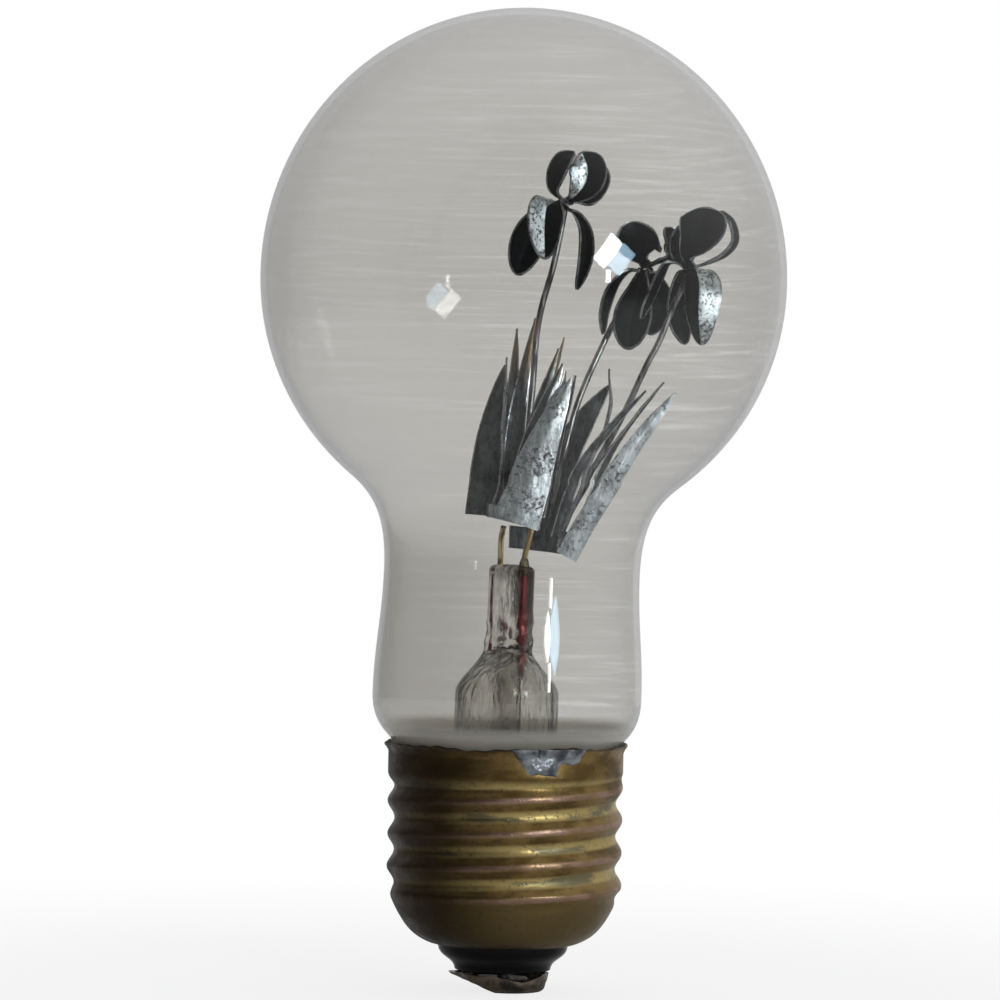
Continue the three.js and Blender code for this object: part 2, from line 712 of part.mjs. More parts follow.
const leftInnerLeaves = leafStamping(
  {
    plan: [[2, 0.6], [0.2, 0.7], [-0.8, 0.9], [-1, 1.6], [-0.7, 2.2], [0.4, 2.3], [1.9, 2.3]],
    foot: leftFoot + 0.7,
    height: 1.8,
    drop: 0.1,
  },
  [
    { spine: [point(0, 0.75, 25.6), point(-0.2, 0.8, 35), point(1.5, 1, 47.3)],
      across: facingFront, width: 2.7, fullness: 2.4 },
    { spine: [point(1, 0.65, 25.6), point(1.8, 0.5, 35), point(4.2, 0.3, 44)],
      across: facingFront, width: 2.6, fullness: 2 },
    { spine: [point(0, 2.3, 25.6), point(-0.7, 2.2, 35), point(-0.5, 2, 46.1)],
      across: facingFront, width: 2.2, fullness: 2.4 },
    { spine: [point(1.3, 2.3, 25.6), point(2.4, 1.9, 35), point(4.8, 1.2, 45.3)],
      across: facingFront, width: 2.2, fullness: 2 },
  ],
);

// Leaves of the right electrode: a hooked band with three leaves, and two more inside it
const rightFoot = 21.7;

const rightOuterLeaves = leafStamping(
  {
    plan: [rightBandEnd, [0.9, 1.9], [3.2, 2.9], [5.4, 2.6], [6.7, 1], [6.5, -1], [4.9, -1.5]],
    foot: rightFoot,
    height: 2.6,
    drop: 0.08,
  },
  [
    { spine: [point(3.5, 2.95, 22.5), point(4.7, 3.6, 30.5), point(7.2, 3.8, 35.8), point(10.2, 3.6, 40.4)],
      across: facingFront, width: 4.4, fullness: 1.6 },
    { spine: [point(6.6, 0.9, 22), point(8.9, 1.2, 29), point(11.4, 1.4, 34.4), point(16.05, 1, 40.8)],
      across: point(0.4, 1, 0), width: 2.6, fullness: 1.6 },
    { spine: [point(5.9, -1.3, 21), point(9.5, -1.5, 28), point(13.6, -1.2, 34.5), point(17.3, -0.4, 39.6)],
      across: point(1, 0.2, 0), width: 2.5, fullness: 2.4 },
  ],
);

const rightInnerLeaves = leafStamping(
  {
    plan: [[5.6, 0.5], [5.3, -0.4], [4.4, -0.6], [3.9, 0.3]],
    foot: rightFoot + 0.8,
    height: 1.8,
    drop: 0.08,
  },
  [
    { spine: [point(5.2, -0.1, 23), point(8.2, -0.2, 31.6), point(10.1, -0.2, 37.2), point(9.9, -0.2, 42)],
      across: point(0.25, 1, 0), width: 1.6, fullness: 2 },
    { spine: [point(4.7, -0.6, 23), point(6.6, -0.7, 30), point(10.7, -0.6, 36), point(14, -0.6, 39.7)],
      across: point(1, 0.2, 0), width: 1.3, fullness: 2 },
  ],
);

// Iris flowers: a stamping of three falls that hang, and one of three standards that rise
// and lean together, each petal bent up or down from the flat blank
const hubRadius = 0.8;
const hubStep = 1.1;

// Every petal's spine is counted from the middle of its own hub disc
function petalStamping(lean, petals) {
  const hub = new THREE.CylinderGeometry(hubRadius, hubRadius, petalThickness, 10);
  hub.applyQuaternion(new THREE.Quaternion().setFromUnitVectors(point(0, 1, 0), lean));
  const blades = petals.map(({ spine, across, width, crease, lag = 1.35 }) => blade({
    spine: [point(0, 0, 0), ...spine.map((place) => point(...place))],
    across: point(...across),
    width,
    crease,
    outline: petalOutline(lag),
    thickness: petalThickness,
    rows: 6,
  }));
  return joined(hub, ...blades);
}

const flowers = [
  {
    name: 'top',
    hub: point(4.25, -2, 59.4),
    stem: [point(0.8, -1, 26.3), point(1, -1, 30.4), point(1.4, -1, 38.2), point(1.95, -1.5, 47.6),
      point(3.35, -2, 53.6)],
    falls: [
      { spine: [[-1, -1.1, 0.9], [-1.9, -2.4, 0.5], [-2.15, -3.2, -2], [-2, -3.4, -5.8]],
        across: [1, 0.1, 0], width: 4, crease: 0.42, lag: 1.6 },
      { spine: [[-1.2, 1, 0.4], [-2.6, 1.4, -1.6], [-4, 1.5, -4], [-5, 1.4, -7.4]],
        across: [1, 0, -0.4], width: 4.2, crease: 0.4, lag: 1.6 },
      { spine: [[1.2, 1, -0.4], [2.3, 1.4, -1.9], [2.6, 1.5, -4.2], [2.35, 1.5, -6.4], [1.7, 1.5, -8.8]],
        across: [1, 0.2, 0], width: 1.7, crease: 0.5 },
    ],
    standards: [
      { spine: [[-1.5, -1.2, 1.2], [-1.3, -1.6, 3], [-0.4, -1.2, 4.9], [0.6, -0.7, 5.6]],
        across: [0.9, -0.4, -0.2], width: 2.4, crease: -0.4 },
      { spine: [[1.1, -1.1, 0.8], [2.1, -1.5, 2.4], [2.2, -1.3, 4.3], [1.5, -0.8, 5.6]],
        across: [1, 0, -0.35], width: 4.1, crease: -0.36 },
      { spine: [[1, 1.6, 0.4], [2.6, 2.4, 1.3], [3.6, 2.2, 3], [3, 1.6, 4.8]],
        across: [1, 0.2, 0], width: 2.8, crease: -0.3 },
    ],
  },
  {
    name: 'middle',
    hub: point(13.5, 6, 53.2),
    stem: [point(3.3, 1.8, 22.6), point(4.1, 2.1, 27.2), point(5.4, 2.6, 32.8),
      point(6.5, 3.1, 37.7), point(8.6, 4.4, 43.4), point(11, 5.6, 48.6)],
    falls: [
      { spine: [[-1.7, -0.3, 0], [-3.3, -0.4, -1.6], [-4.2, -0.5, -4.4], [-4.3, -0.5, -7.2]],
        across: [0.45, 0.9, 0], width: 2.6, crease: 0.4 },
      { spine: [[-0.2, -1.5, 0.05], [-0.6, -2.4, -2.4], [-1.2, -2.8, -5.4], [-1.6, -2.8, -8.8]],
        across: [1, 0, -0.1], width: 4.2, crease: 0.6, lag: 2.2 },
      { spine: [[0.9, 0.9, -0.5], [1.7, 1, -2.2], [1.9, 0.8, -4.2], [1, 0.5, -7]],
        across: [1, 0.3, 0.1], width: 3.4, crease: 0.4 },
    ],
    standards: [
      { spine: [[-1.2, -0.9, 1.5], [-1.6, -1.7, 2.9], [-0.4, -1.7, 4.6]],
        across: [1, 0, 0.15], width: 4.6, crease: -0.3, lag: 1.5 },
      { spine: [[1.4, -0.4, 1.1], [2.6, -0.8, 2], [2.1, -1.1, 3.6], [1.2, -1.1, 4.4]],
        across: [0.9, 0.4, 0], width: 2.8, crease: -0.4 },
      { spine: [[-0.8, 1.2, 1.3], [-1.2, 1.9, 2.5], [0, 1.4, 4.3]],
        across: [1, -0.2, 0], width: 3.2, crease: -0.3 },
    ],
  },
  {
    name: 'right',
    hub: point(18.3, 0, 52.9),
    stem: [point(4.6, 1.6, 22.4), point(7.3, 1.3, 28.4), point(9.4, 0.6, 32.4),
      point(11.8, 0.2, 37.3), point(14, 0, 42.5), point(15.4, 0, 45.4), point(16.8, 0, 49.4)],
    falls: [
      { spine: [[-1.1, -0.4, 1], [-2.4, -0.5, 1], [-3.4, -0.6, -0.9], [-4.5, -0.6, -3.8], [-5.1, -0.6, -5.3]],
        across: [0.45, 0.9, 0], width: 2.2, crease: 0.4 },
      { spine: [[-0.3, 1, 0.2], [-0.7, 1.4, -2.4], [-0.7, 1.5, -5], [0, 1.4, -7.8]],
        across: [1, 0.2, 0], width: 3, crease: 0.4 },
      { spine: [[0.8, -1.2, -0.3], [1.5, -2.4, -1.7], [1.5, -2.9, -4.4], [1.6, -3, -7.9]],
        across: [0.93, -0.36, 0], width: 4.2, crease: -0.75, lag: 1.1 },
    ],
    standards: [
      { spine: [[-0.7, -1.2, 1.2], [0.2, -2.2, 3.1], [1, -2.2, 5], [1.3, -1.5, 6.7]],
        across: [1, -0.3, -0.2], width: 5.4, crease: -0.3, lag: 1.9 },
      { spine: [[1.5, 0.3, 0.45], [3.5, 0.3, 1.4], [4.8, 0.2, 3.2], [4.3, 0, 5.2], [3, -0.3, 6.4]],
        across: [0.3, 0.95, 0.1], width: 2.8, crease: -0.3 },
      { spine: [[-0.8, 1.2, 1], [-0.8, 2, 3], [0.4, 1.4, 5.4]],
        across: [1, 0.1, 0], width: 3.4, crease: -0.3 },
    ],
  },
];

// Colours and finishes
const finish = (color, roughness, metalness, more = {}) => () => new THREE.MeshStandardMaterial({
  color, roughness, metalness, ...more,
});
const clearGlass = finish('#c9cbc6', 0.06, 0, { transparent: true, opacity: 0.35 });
const brass = finish('#7d6636', 0.38, 0.9);
const blackGlass = finish('#0b0b0b', 0.12, 0);
const solderGrey = finish('#6c6f6f', 0.5, 0.8);
const gunmetal = finish('#5f6769', 0.35, 0.85);
const darkPetal = finish('#2c2e2e', 0.32, 0.85);
const nickel = finish('#b9a77c', 0.3, 0.9);
const redSealWire = finish('#7a2c1c', 0.35, 0.8);
const copper = finish('#8c5a3c', 0.4, 0.9);
const cementTan = finish('#9a8f7c', 0.9, 0);
const resistorBrown = finish('#5a4433', 0.6, 0);

const lamp = new THREE.Group();
const glass = new THREE.Group();
glass.applyMatrix4(glassSeat);
lamp.add(glass);

function place(group, name, geometry, material) {
  const mesh = new THREE.Mesh(geometry, material());
  mesh.name = name;
  group.add(mesh);
}

// Cap
place(lamp, 'screw_shell', screwShell(), brass);
place(lamp, 'insulator', insulator(), blackGlass);
place(lamp, 'centre_contact', centreContact(), brass);
place(lamp, 'contact_solder', contactSolder(), solderGrey);
place(lamp, 'rim_solder', rimSolder(), solderGrey);
place(lamp, 'basing_cement', basingCement(), cementTan);
place(lamp, 'ballast_resistor', ballastResistor(), resistorBrown);

// Glass and leads
place(glass, 'glass_envelope', glassEnvelope(), clearGlass);
place(glass, 'glass_stem', glassStem(), clearGlass);
place(glass, 'inner_lead_front', wire(frontLead, leadDiameter, 9), nickel);
place(glass, 'inner_lead_back', wire(backLead, leadDiameter, 9), nickel);
place(glass, 'seal_wire_front', wire(sealWire(1), sealWireDiameter, 1), redSealWire);
place(glass, 'seal_wire_back', wire(sealWire(-1), sealWireDiameter, 1), redSealWire);
place(glass, 'shell_lead', wire(shellLead, outerLeadDiameter, 22, 5), copper);
place(glass, 'resistor_lead', wire(resistorLead, outerLeadDiameter, 10, 5), copper);

// Electrodes
place(glass, 'left_leaves_outer', leftOuterLeaves, gunmetal);
place(glass, 'left_leaves_middle', leftMiddleLeaves, gunmetal);
place(glass, 'left_leaves_inner', leftInnerLeaves, gunmetal);
place(glass, 'right_leaves_outer', rightOuterLeaves, gunmetal);
place(glass, 'right_leaves_inner', rightInnerLeaves, gunmetal);

flowers.forEach(({ name, hub, stem, falls: hanging, standards: rising }) => {
  const top = stem[stem.length - 1];
  const lean = hub.clone().sub(top).normalize();
  const stemEnd = hub.clone().addScaledVector(lean, -2 * gap - petalThickness / 2);
  const upperHub = hub.clone().addScaledVector(lean, hubStep);
  const falls = petalStamping(lean, hanging).translate(...hub);
  const standards = petalStamping(lean, rising).translate(...upperHub);
  place(glass, `${name}_flower_stem`, wire([...stem, stemEnd], flowerWireDiameter, 13, 6), nickel);
  place(glass, `${name}_flower_falls`, falls, darkPetal);
  place(glass, `${name}_flower_standards`, standards, darkPetal);
});

export default lamp;
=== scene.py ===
# Dead glow lamp of household bulb shape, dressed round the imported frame.
# Sizes are millimetres with +Z up, and a piece becomes metres when its mesh is made.
# Finishes, floor, studio and lamps are laid out in metres.
import math

import bmesh
import bpy
import numpy as np
from mathutils import Matrix, Vector, noise


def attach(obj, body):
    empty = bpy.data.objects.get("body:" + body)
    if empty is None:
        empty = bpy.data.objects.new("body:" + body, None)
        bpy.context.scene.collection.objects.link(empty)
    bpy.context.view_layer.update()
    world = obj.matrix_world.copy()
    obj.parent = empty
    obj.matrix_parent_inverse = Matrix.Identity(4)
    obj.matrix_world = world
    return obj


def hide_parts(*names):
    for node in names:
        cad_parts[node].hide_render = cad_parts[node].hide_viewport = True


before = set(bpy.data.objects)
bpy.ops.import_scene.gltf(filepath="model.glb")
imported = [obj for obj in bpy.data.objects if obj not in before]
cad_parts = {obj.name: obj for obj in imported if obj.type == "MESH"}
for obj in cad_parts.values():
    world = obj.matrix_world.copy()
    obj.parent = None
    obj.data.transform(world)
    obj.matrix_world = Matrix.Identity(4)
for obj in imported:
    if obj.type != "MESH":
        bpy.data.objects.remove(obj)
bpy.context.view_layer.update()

MM = 0.001

# Camera, read off the photograph's frame
PIXEL = 0.111
PHOTO_SIZE = 1000
AXIS_COLUMN = 502
FOOT_ROW = 990
CAMERA_DISTANCE = 480
CAMERA_ROLL = math.radians(0.94)
SENSOR_WIDTH = 36

# Cap
SHELL_RADIUS = 13.05
THREAD_PITCH = 25.4 / 7
THREAD_DEPTH = 0.76
THREAD_FOOT = 10.4
THREAD_HEAD = 24.4
CREST_HEIGHT = 19.1
SHELL_WALL = 0.28
SHELL_HEIGHT = 27.4
SHELL_FLOOR = 5.2
SHELL_SIDES = 260
SHOULDER_TOP = 11.4
RIM_FLARE = 0.45
RIM_FLARE_LENGTH = 1.0
RIM_RAGGEDNESS = 0.1
EYELET_OPENING = 15
INSULATOR_FOOT = 2.3
INSULATOR_FOOT_RADIUS = 5.4
INSULATOR_NECK_RADIUS = 7.2
INSULATOR_BORE = 1.2
INSULATOR_SIDES = 96

# Glass, heights counted from the rim of the cap
GLOBE_RADIUS = 29.2
GLOBE_CROWN = 30
GLOBE_KEEL = 28.7
EQUATOR_HEIGHT = 51.5
GLOBE_FOOT_DROP = 22.3
WAIST_RADIUS = 14.2
WAIST_HEIGHT = 19
SKIRT_RADIUS = 14.93
SKIRT_HEIGHT = 5.2
MOUTH_RADIUS = 12.6
SEAL_RADIUS = 10.4
SEAL_DEPTH = 5.9
GLASS_WALL = 0.7
GLOBE_SIDES = 144
GLASS_SEAT = Matrix.Translation((-0.12, 0, SHELL_HEIGHT)) @ Matrix.Rotation(math.radians(1.37), 4, "Y")

# Stem
PRESS_LENGTH = 7.6
PRESS_THICKNESS = 3
PRESS_TURN = math.radians(-60)
PRESS_TOP = 19.9
PRESS_FOOT = 10.8
FLARE_TUBE_RADIUS = 5.75
FLARE_TUBE_TOP = 5.4
FLARE_WALL = 0.8
EXHAUST_RADIUS = 1.8
EXHAUST_BORE = 0.9
EXHAUST_TIP_DEPTH = 14.4
EXHAUST_SIDES = 28
QUARTER_TURN = 1.57

# Wires and sheets
LEAD_DIAMETER = 0.66
LEAD_SPACING = 5.3
SEAL_WIRE_DIAMETER = 0.5
FLOWER_WIRE_DIAMETER = 0.7
SHEET_THICKNESS = 0.2
PETAL_THICKNESS = 0.26
GAP = 0.3


def smooth(value, start, end):
    share = np.clip((np.asarray(value, float) - start) / (end - start), 0, 1)
    return share * share * (3 - 2 * share)


def lerp(start, end, share):
    return start + (end - start) * share


def unit(vectors):
    return vectors / np.linalg.norm(vectors, axis=-1, keepdims=True)


def wander(points, size, seed=0.0):
    """Smooth noise from -1 to 1 at each point, with bumps of about the given size."""
    shift = Vector((seed, 1.7 * seed, -0.6 * seed))
    return np.array([noise.noise(Vector(place) / size + shift) for place in points])


# Meshes


def grid_faces(rows, cols, loop_rows=False, loop_cols=True):
    row = np.arange(rows if loop_rows else rows - 1)
    col = np.arange(cols if loop_cols else cols - 1)
    row, col = np.meshgrid(row, col, indexing="ij")
    next_row = (row + 1) % rows
    next_col = (col + 1) % cols
    corners = [row * cols + col, row * cols + next_col, next_row * cols + next_col, next_row * cols + col]
    return np.stack(corners, axis=-1).reshape(-1, 4)


def closed_surface(points, faces, slot=0, cavity=False):
    """A closed surface facing out of its material, with the finish slot of each face."""
    points = np.asarray(points, float)
    faces = np.asarray(faces)
    a, b, c, d = [points[faces[:, corner]] for corner in range(4)]
    volume = np.sum(a * np.cross(b, c)) + np.sum(a * np.cross(c, d))
    if (volume < 0) != cavity:
        faces = faces[:, ::-1]
    slots = np.broadcast_to(slot, len(faces)).copy()
    return points, faces, slots


def add_piece(name, surfaces, finishes, nodes, sharp_angle=180):
    """One object made of closed surfaces. It stands for the named nodes of the frame."""
    start = 0
    all_points, all_faces, all_slots = [], [], []
    for points, faces, slots in surfaces:
        all_points.append(points)
        all_faces.append(faces + start)
        all_slots.append(slots)
        start += len(points)
    mesh = bpy.data.meshes.new(name)
    places = np.concatenate(all_points) * MM
    mesh.from_pydata(places.tolist(), [], np.concatenate(all_faces).tolist())
    mesh.polygons.foreach_set("material_index", np.concatenate(all_slots))
    for finish in finishes:
        mesh.materials.append(finish)
    edit = bmesh.new()
    edit.from_mesh(mesh)
    bmesh.ops.remove_doubles(edit, verts=edit.verts, dist=1e-7)
    bmesh.ops.dissolve_degenerate(edit, edges=edit.edges, dist=1e-8)
    edit.to_mesh(mesh)
    edit.free()
    mesh.shade_smooth()
    if sharp_angle < 180:
        mesh.set_sharp_from_angle(angle=math.radians(sharp_angle))
    piece = bpy.data.objects.new(name, mesh)
    bpy.context.scene.collection.objects.link(piece)
    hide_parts(*nodes)
    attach(piece, "root")


def add_tilted(name, surfaces, *rest):
    """A piece that leans with the glass in its cap."""
    seat = np.array(GLASS_SEAT)
    seated = [(points @ seat[:3, :3].T + seat[:3, 3], faces, slots) for points, faces, slots in surfaces]
    add_piece(name, seated, *rest)


def turned(profile, segments, loop=False, cavity=False):
    """A body turned about Z. Profile ends on the axis close up to a single point."""
    profile = np.asarray(profile, float)
    turn = 2 * np.pi * np.arange(segments) / segments
    radius, height = profile[:, :1], profile[:, 1:]
    rings = [radius * np.cos(turn), radius * np.sin(turn), height + 0 * turn]
    points = np.stack(rings, axis=-1).reshape(-1, 3)
    return closed_surface(points, grid_faces(len(profile), segments, loop_rows=loop), cavity=cavity)


def bezier(controls, count):
    a, b, c, d = [np.asarray(control, float) for control in controls]
    share = np.linspace(0, 1, count)[:, None]
    rest = 1 - share
    return rest**3 * a + 3 * rest**2 * share * b + 3 * rest * share**2 * c + share**3 * d


def inset_line(profile, wall):
    along = unit(np.gradient(profile, axis=0))
    inner = profile + wall * np.stack([-along[:, 1], along[:, 0]], axis=1)
    inner[:, 0] = np.maximum(inner[:, 0], 0)
    return inner


def curve_points(bends, shares):
    """Centripetal Catmull-Rom curve through the bends, at shares of its parameter."""
    bends = np.asarray(bends, float)
    knots = np.concatenate([[2 * bends[0] - bends[1]], bends, [2 * bends[-1] - bends[-2]]])
    position = np.clip(shares, 0, 1) * (len(bends) - 1)
    cell = np.minimum(position.astype(int), len(bends) - 2)
    rest = (position - cell)[:, None]
    p0, p1, p2, p3 = near = [knots[cell + step] for step in range(4)]
    s0, s1, s2 = [np.sqrt(np.linalg.norm(b - a, axis=1, keepdims=True)) for a, b in zip(near, near[1:])]
    t1 = ((p1 - p0) / s0 - (p2 - p0) / (s0 + s1) + (p2 - p1) / s1) * s1
    t2 = ((p2 - p1) / s1 - (p3 - p1) / (s1 + s2) + (p3 - p2) / s2) * s1
    cubic = 2 * p1 - 2 * p2 + t1 + t2
    square = -3 * p1 + 3 * p2 - 2 * t1 - t2
    return p1 + t1 * rest + square * rest**2 + cubic * rest**3


def wire(bends, diameter, steps, sides=14, unevenness=0.0):
    """A round wire along a smooth line through its bends, with flat ends."""
    fine = curve_points(bends, np.linspace(0, 1, 40 * len(bends)))
    run = np.concatenate([[0], np.cumsum(np.linalg.norm(np.diff(fine, axis=0), axis=1))])
    even = np.linspace(0, run[-1], steps + 1)
    path = np.stack([np.interp(even, run, fine[:, axis]) for axis in range(3)], axis=1)
    if unevenness:
        for axis in range(3):
            path[1:-1, axis] += unevenness * wander(path[1:-1], 5, 3.1 * axis)
    tangent = unit(np.gradient(path, axis=0))
    side = np.cross(tangent[0], (0.31, 0.87, 0.38))
    turn = 2 * np.pi * np.arange(sides) / sides
    rings = []
    for centre, ahead in zip(path, tangent):
        side = unit(side - ahead * np.dot(side, ahead))
        ring = np.outer(np.cos(turn), side) + np.outer(np.sin(turn), np.cross(ahead, side))
        rings.append(centre + ring * diameter / 2)
    rings = [np.tile(path[0], (sides, 1)), *rings, np.tile(path[-1], (sides, 1))]
    return closed_surface(np.concatenate(rings), grid_faces(len(rings), sides))


def stitched(front_skin, back_skin, slots=0):
    """A closed sheet from two grids of points, joined all round their edges."""
    rows, cols = front_skin.shape[:2]
    names = np.arange(rows * cols).reshape(rows, cols)
    edge = np.concatenate([names[0, :], names[1:, -1], names[-1, -2::-1], names[-2:0:-1, 0]])
    after = np.roll(edge, -1)
    rim = np.stack([edge, edge + rows * cols, after + rows * cols, after], axis=1)
    front = grid_faces(rows, cols, loop_cols=False)
    points = np.concatenate([front_skin.reshape(-1, 3), back_skin.reshape(-1, 3)])
    return closed_surface(points, np.concatenate([front, front[:, ::-1] + rows * cols, rim]), slots)


def sheet(grid, thickness, tones):
    """A thin closed sheet from a grid of points on its middle face, with a finish slot
    for each of its cells. Slot 1 is its cut edge."""
    rows, cols = grid.shape[:2]
    offset = unit(np.cross(np.gradient(grid, axis=0), np.gradient(grid, axis=1))) * thickness / 2
    face_slots = np.broadcast_to(tones, (rows - 1, cols - 1)).ravel()
    slots = np.concatenate([face_slots, face_slots, np.ones(2 * (rows + cols - 2), int)])
    return stitched(grid + offset, grid - offset, slots)


TIP_WIDTH = 0.24
CLAW_SHARE = 0.26
BARE_EDGE = 0.15


def blade(spine, across, width, outline, crease, thickness, rows, cols, buckle, seed, lit):
    """A leaf or petal cut from sheet, creased down its middle and a little buckled. It is bare
    metal along its edges. Lit is the half, -1 or 1, that has slot 2, the painted lit finish, and 2 means both
    halves."""
    shares = np.sin(np.pi * np.arange(rows + 1) / (2 * rows))
    centre = curve_points(spine, shares)
    tangent = unit(curve_points(spine, shares + 1e-4) - curve_points(spine, shares - 1e-4))
    across = np.asarray(across, float)
    side = unit(across - tangent * (tangent @ across)[:, None])
    face = np.cross(side, tangent)
    half = np.maximum(width * outline(shares), TIP_WIDTH) / 2
    core = np.linspace(-1, 1, cols - 2) * (1 - np.clip(BARE_EDGE / half, 0, 0.3))[:, None]
    share = np.pad(core, ((0, 0), (1, 1)), constant_values=1)
    share[:, 0] = -1
    fold = 1 - np.sqrt(share**2 + 0.004)
    grid = centre[:, None] + side[:, None] * (half[:, None] * share)[..., None]
    grid = grid + face[:, None] * (crease * half[:, None] * fold)[..., None]
    field = wander(grid.reshape(-1, 3), 2.6, seed).reshape(grid.shape[:2])
    grid = grid + face[:, None] * (buckle * field * smooth(shares, 0.1, 0.5)[:, None])[..., None]
    middle = np.linspace(-1, 1, cols - 1)
    tones = np.where((middle * lit > 0) | (lit == 2), 2, 0)
    tones[[0, -1]] = 1
    return sheet(grid, thickness, tones)


def sword_outline(fullness):
    return lambda along: (1 - along**fullness) ** 0.7


def petal_outline(lag):
    """The larger the lag is, the nearer to its blunt tip a petal is widest."""
    def outline(along):
        place = along**lag
        swell = np.abs(np.sin(np.pi * place))
        return np.maximum(CLAW_SHARE * (1 - along), np.where(place < 0.5, swell**0.85, swell**0.5))
    return outline


# Finishes


class Nodes:
    """A node tree, and the sums and fields that are built in it."""

    def __init__(self, tree, place):
        self.tree = tree
        self.place = self.node("TexCoord").outputs[place]

    def node(self, kind):
        return self.tree.nodes.new("ShaderNode" + kind)

    def link(self, value, socket):
        if isinstance(value, bpy.types.NodeSocket):
            self.tree.links.new(value, socket)
        elif socket.type == "RGBA":
            socket.default_value = (*value, 1)
        else:
            socket.default_value = value

    def math(self, operation, *values, clamp=False):
        step = self.node("Math")
        step.operation = operation
        step.use_clamp = clamp
        for value, socket in zip(values, step.inputs):
            self.link(value, socket)
        return step.outputs[0]

    def product(self, first, *others):
        for other in others:
            first = self.math("MULTIPLY", first, other)
        return first

    def axis(self, name):
        parts = self.node("SeparateXYZ")
        self.link(self.place, parts.inputs[0])
        return parts.outputs[name]

    def ramp(self, value, start, end, low=0.0, high=1.0, shape="SMOOTHSTEP"):
        """A step of a value between start and end, from low to high."""
        step = self.node("MapRange")
        step.interpolation_type = shape
        names = ("Value", "From Min", "From Max", "To Min", "To Max")
        for name, setting in zip(names, (value, start, end, low, high)):
            self.link(setting, step.inputs[name])
        return step.outputs["Result"]

    def blend(self, factor, first, second):
        """A mix of the shaders of two nodes."""
        mix = self.node("MixShader")
        for value, socket in zip((factor, first.outputs[0], second.outputs[0]), mix.inputs):
            self.link(value, socket)
        return mix


class Finish(Nodes):
    """A procedural finish whose noise fields are laid out in the object's own metres."""

    def __init__(self, name, color, roughness, metallic=0.0):
        self.material = bpy.data.materials.new(name)
        self.material.use_nodes = True
        super().__init__(self.material.node_tree, "Object")
        self.shader = self.tree.nodes["Principled BSDF"]
        self.set("Base Color", color)
        self.set("Roughness", roughness)
        self.set("Metallic", metallic)

    def set(self, socket, value):
        self.link(value, self.shader.inputs[socket])

    def show(self, shader):
        output = next(node for node in self.tree.nodes if node.type == "OUTPUT_MATERIAL")
        self.link(shader.outputs[0], output.inputs["Surface"])

    def radius(self):
        """Distance from the lamp's axis, in metres."""
        flat = self.node("VectorMath")
        flat.operation = "MULTIPLY"
        self.link(self.place, flat.inputs[0])
        self.link((1, 1, 0), flat.inputs[1])
        length = self.node("VectorMath")
        length.operation = "LENGTH"
        self.link(flat.outputs[0], length.inputs[0])
        return length.outputs["Value"]

    def noise(self, size, detail=4, roughness=0.55, shift=0.0):
        """Noise from 0 to 1 with features of the given size, in mm, or sizes for x, y and z."""
        sizes = size if isinstance(size, tuple) else (size, size, size)
        scaled = self.node("Mapping")
        self.link(self.place, scaled.inputs["Vector"])
        self.link([1 / (MM * value) for value in sizes], scaled.inputs["Scale"])
        self.link((shift, 0.7 * shift, 1.3 * shift), scaled.inputs["Location"])
        field = self.node("TexNoise")
        self.link(scaled.outputs[0], field.inputs["Vector"])
        self.link(1, field.inputs["Scale"])
        self.link(detail, field.inputs["Detail"])
        self.link(roughness, field.inputs["Roughness"])
        return field.outputs["Fac"]

    def mottle(self, size, start, end, low=0.0, high=1.0, **field):
        """Patches: noise of a size, stepped between start and end, from low to high."""
        return self.ramp(self.noise(size, **field), start, end, low, high)

    def mix(self, factor, first, second):
        blend = self.node("Mix")
        blend.data_type = "RGBA"
        self.link(factor, blend.inputs["Factor"])
        self.link(first, blend.inputs[6])
        self.link(second, blend.inputs[7])
        return blend.outputs[2]

    def bump(self, height, depth):
        """Relief of the given depth in mm where the height field runs from 0 to 1."""
        relief = self.node("Bump")
        self.link(depth * MM, relief.inputs["Distance"])
        self.link(height, relief.inputs["Height"])
        self.set("Normal", relief.outputs[0])


def shadow_clear(glass):
    """Lets lamp light pass through glass instead of casting a solid shadow."""
    clear = glass.node("BsdfTransparent")
    glass.link((0.82, 0.82, 0.81), clear.inputs[0])
    path = glass.node("LightPath")
    glass.show(glass.blend(path.outputs["Is Shadow Ray"], glass.shader, clear))


def globe_glass():
    """Glass with a smoky film inside: streaked across, mostly on the right, with painted shade low on the
    left, darker where it is seen edge on, and hazed just above the rim of the cap."""
    glass = Finish("clear_glass", (0.71, 0.7, 0.68), 0.0)
    glass.set("IOR", 1.43)
    height = glass.axis("Z")
    across = glass.axis("X")
    streaks = glass.mottle((26, 26, 0.62), 0.5, 0.66, detail=6, roughness=0.75)
    patches = glass.mottle(13, 0.3, 0.62, 0.25, detail=3, shift=5.0)
    shown = glass.product(patches, glass.ramp(across, -0.012, 0.016, 0.3, 1.0))
    film = glass.mix(glass.product(streaks, shown), (0.694, 0.686, 0.666), (0.86, 0.86, 0.85))
    # painted shade: the film is darker low down on the left, away from the light
    low_left_shade = glass.product(glass.ramp(height, 0.056, 0.045), glass.ramp(across, 0.006, -0.01, 0.0, 0.7))
    film = glass.mix(low_left_shade, film, (0.56, 0.55, 0.52))
    facing = glass.node("LayerWeight").outputs["Facing"]
    film = glass.mix(glass.ramp(facing, 0.8, 0.97), film, (0.56, 0.56, 0.55))
    mouth = glass.ramp(height, 0.0302, 0.0284)
    glass.set("Base Color", glass.mix(mouth, film, (0.5, 0.47, 0.41)))
    glass.set("Transmission Weight", glass.ramp(height, 0.0283, 0.03, 0.45, 1.0))
    glass.bump(glass.noise((30, 30, 2.2), detail=3, shift=9.0), 0.006)
    shadow_clear(glass)
    return glass.material


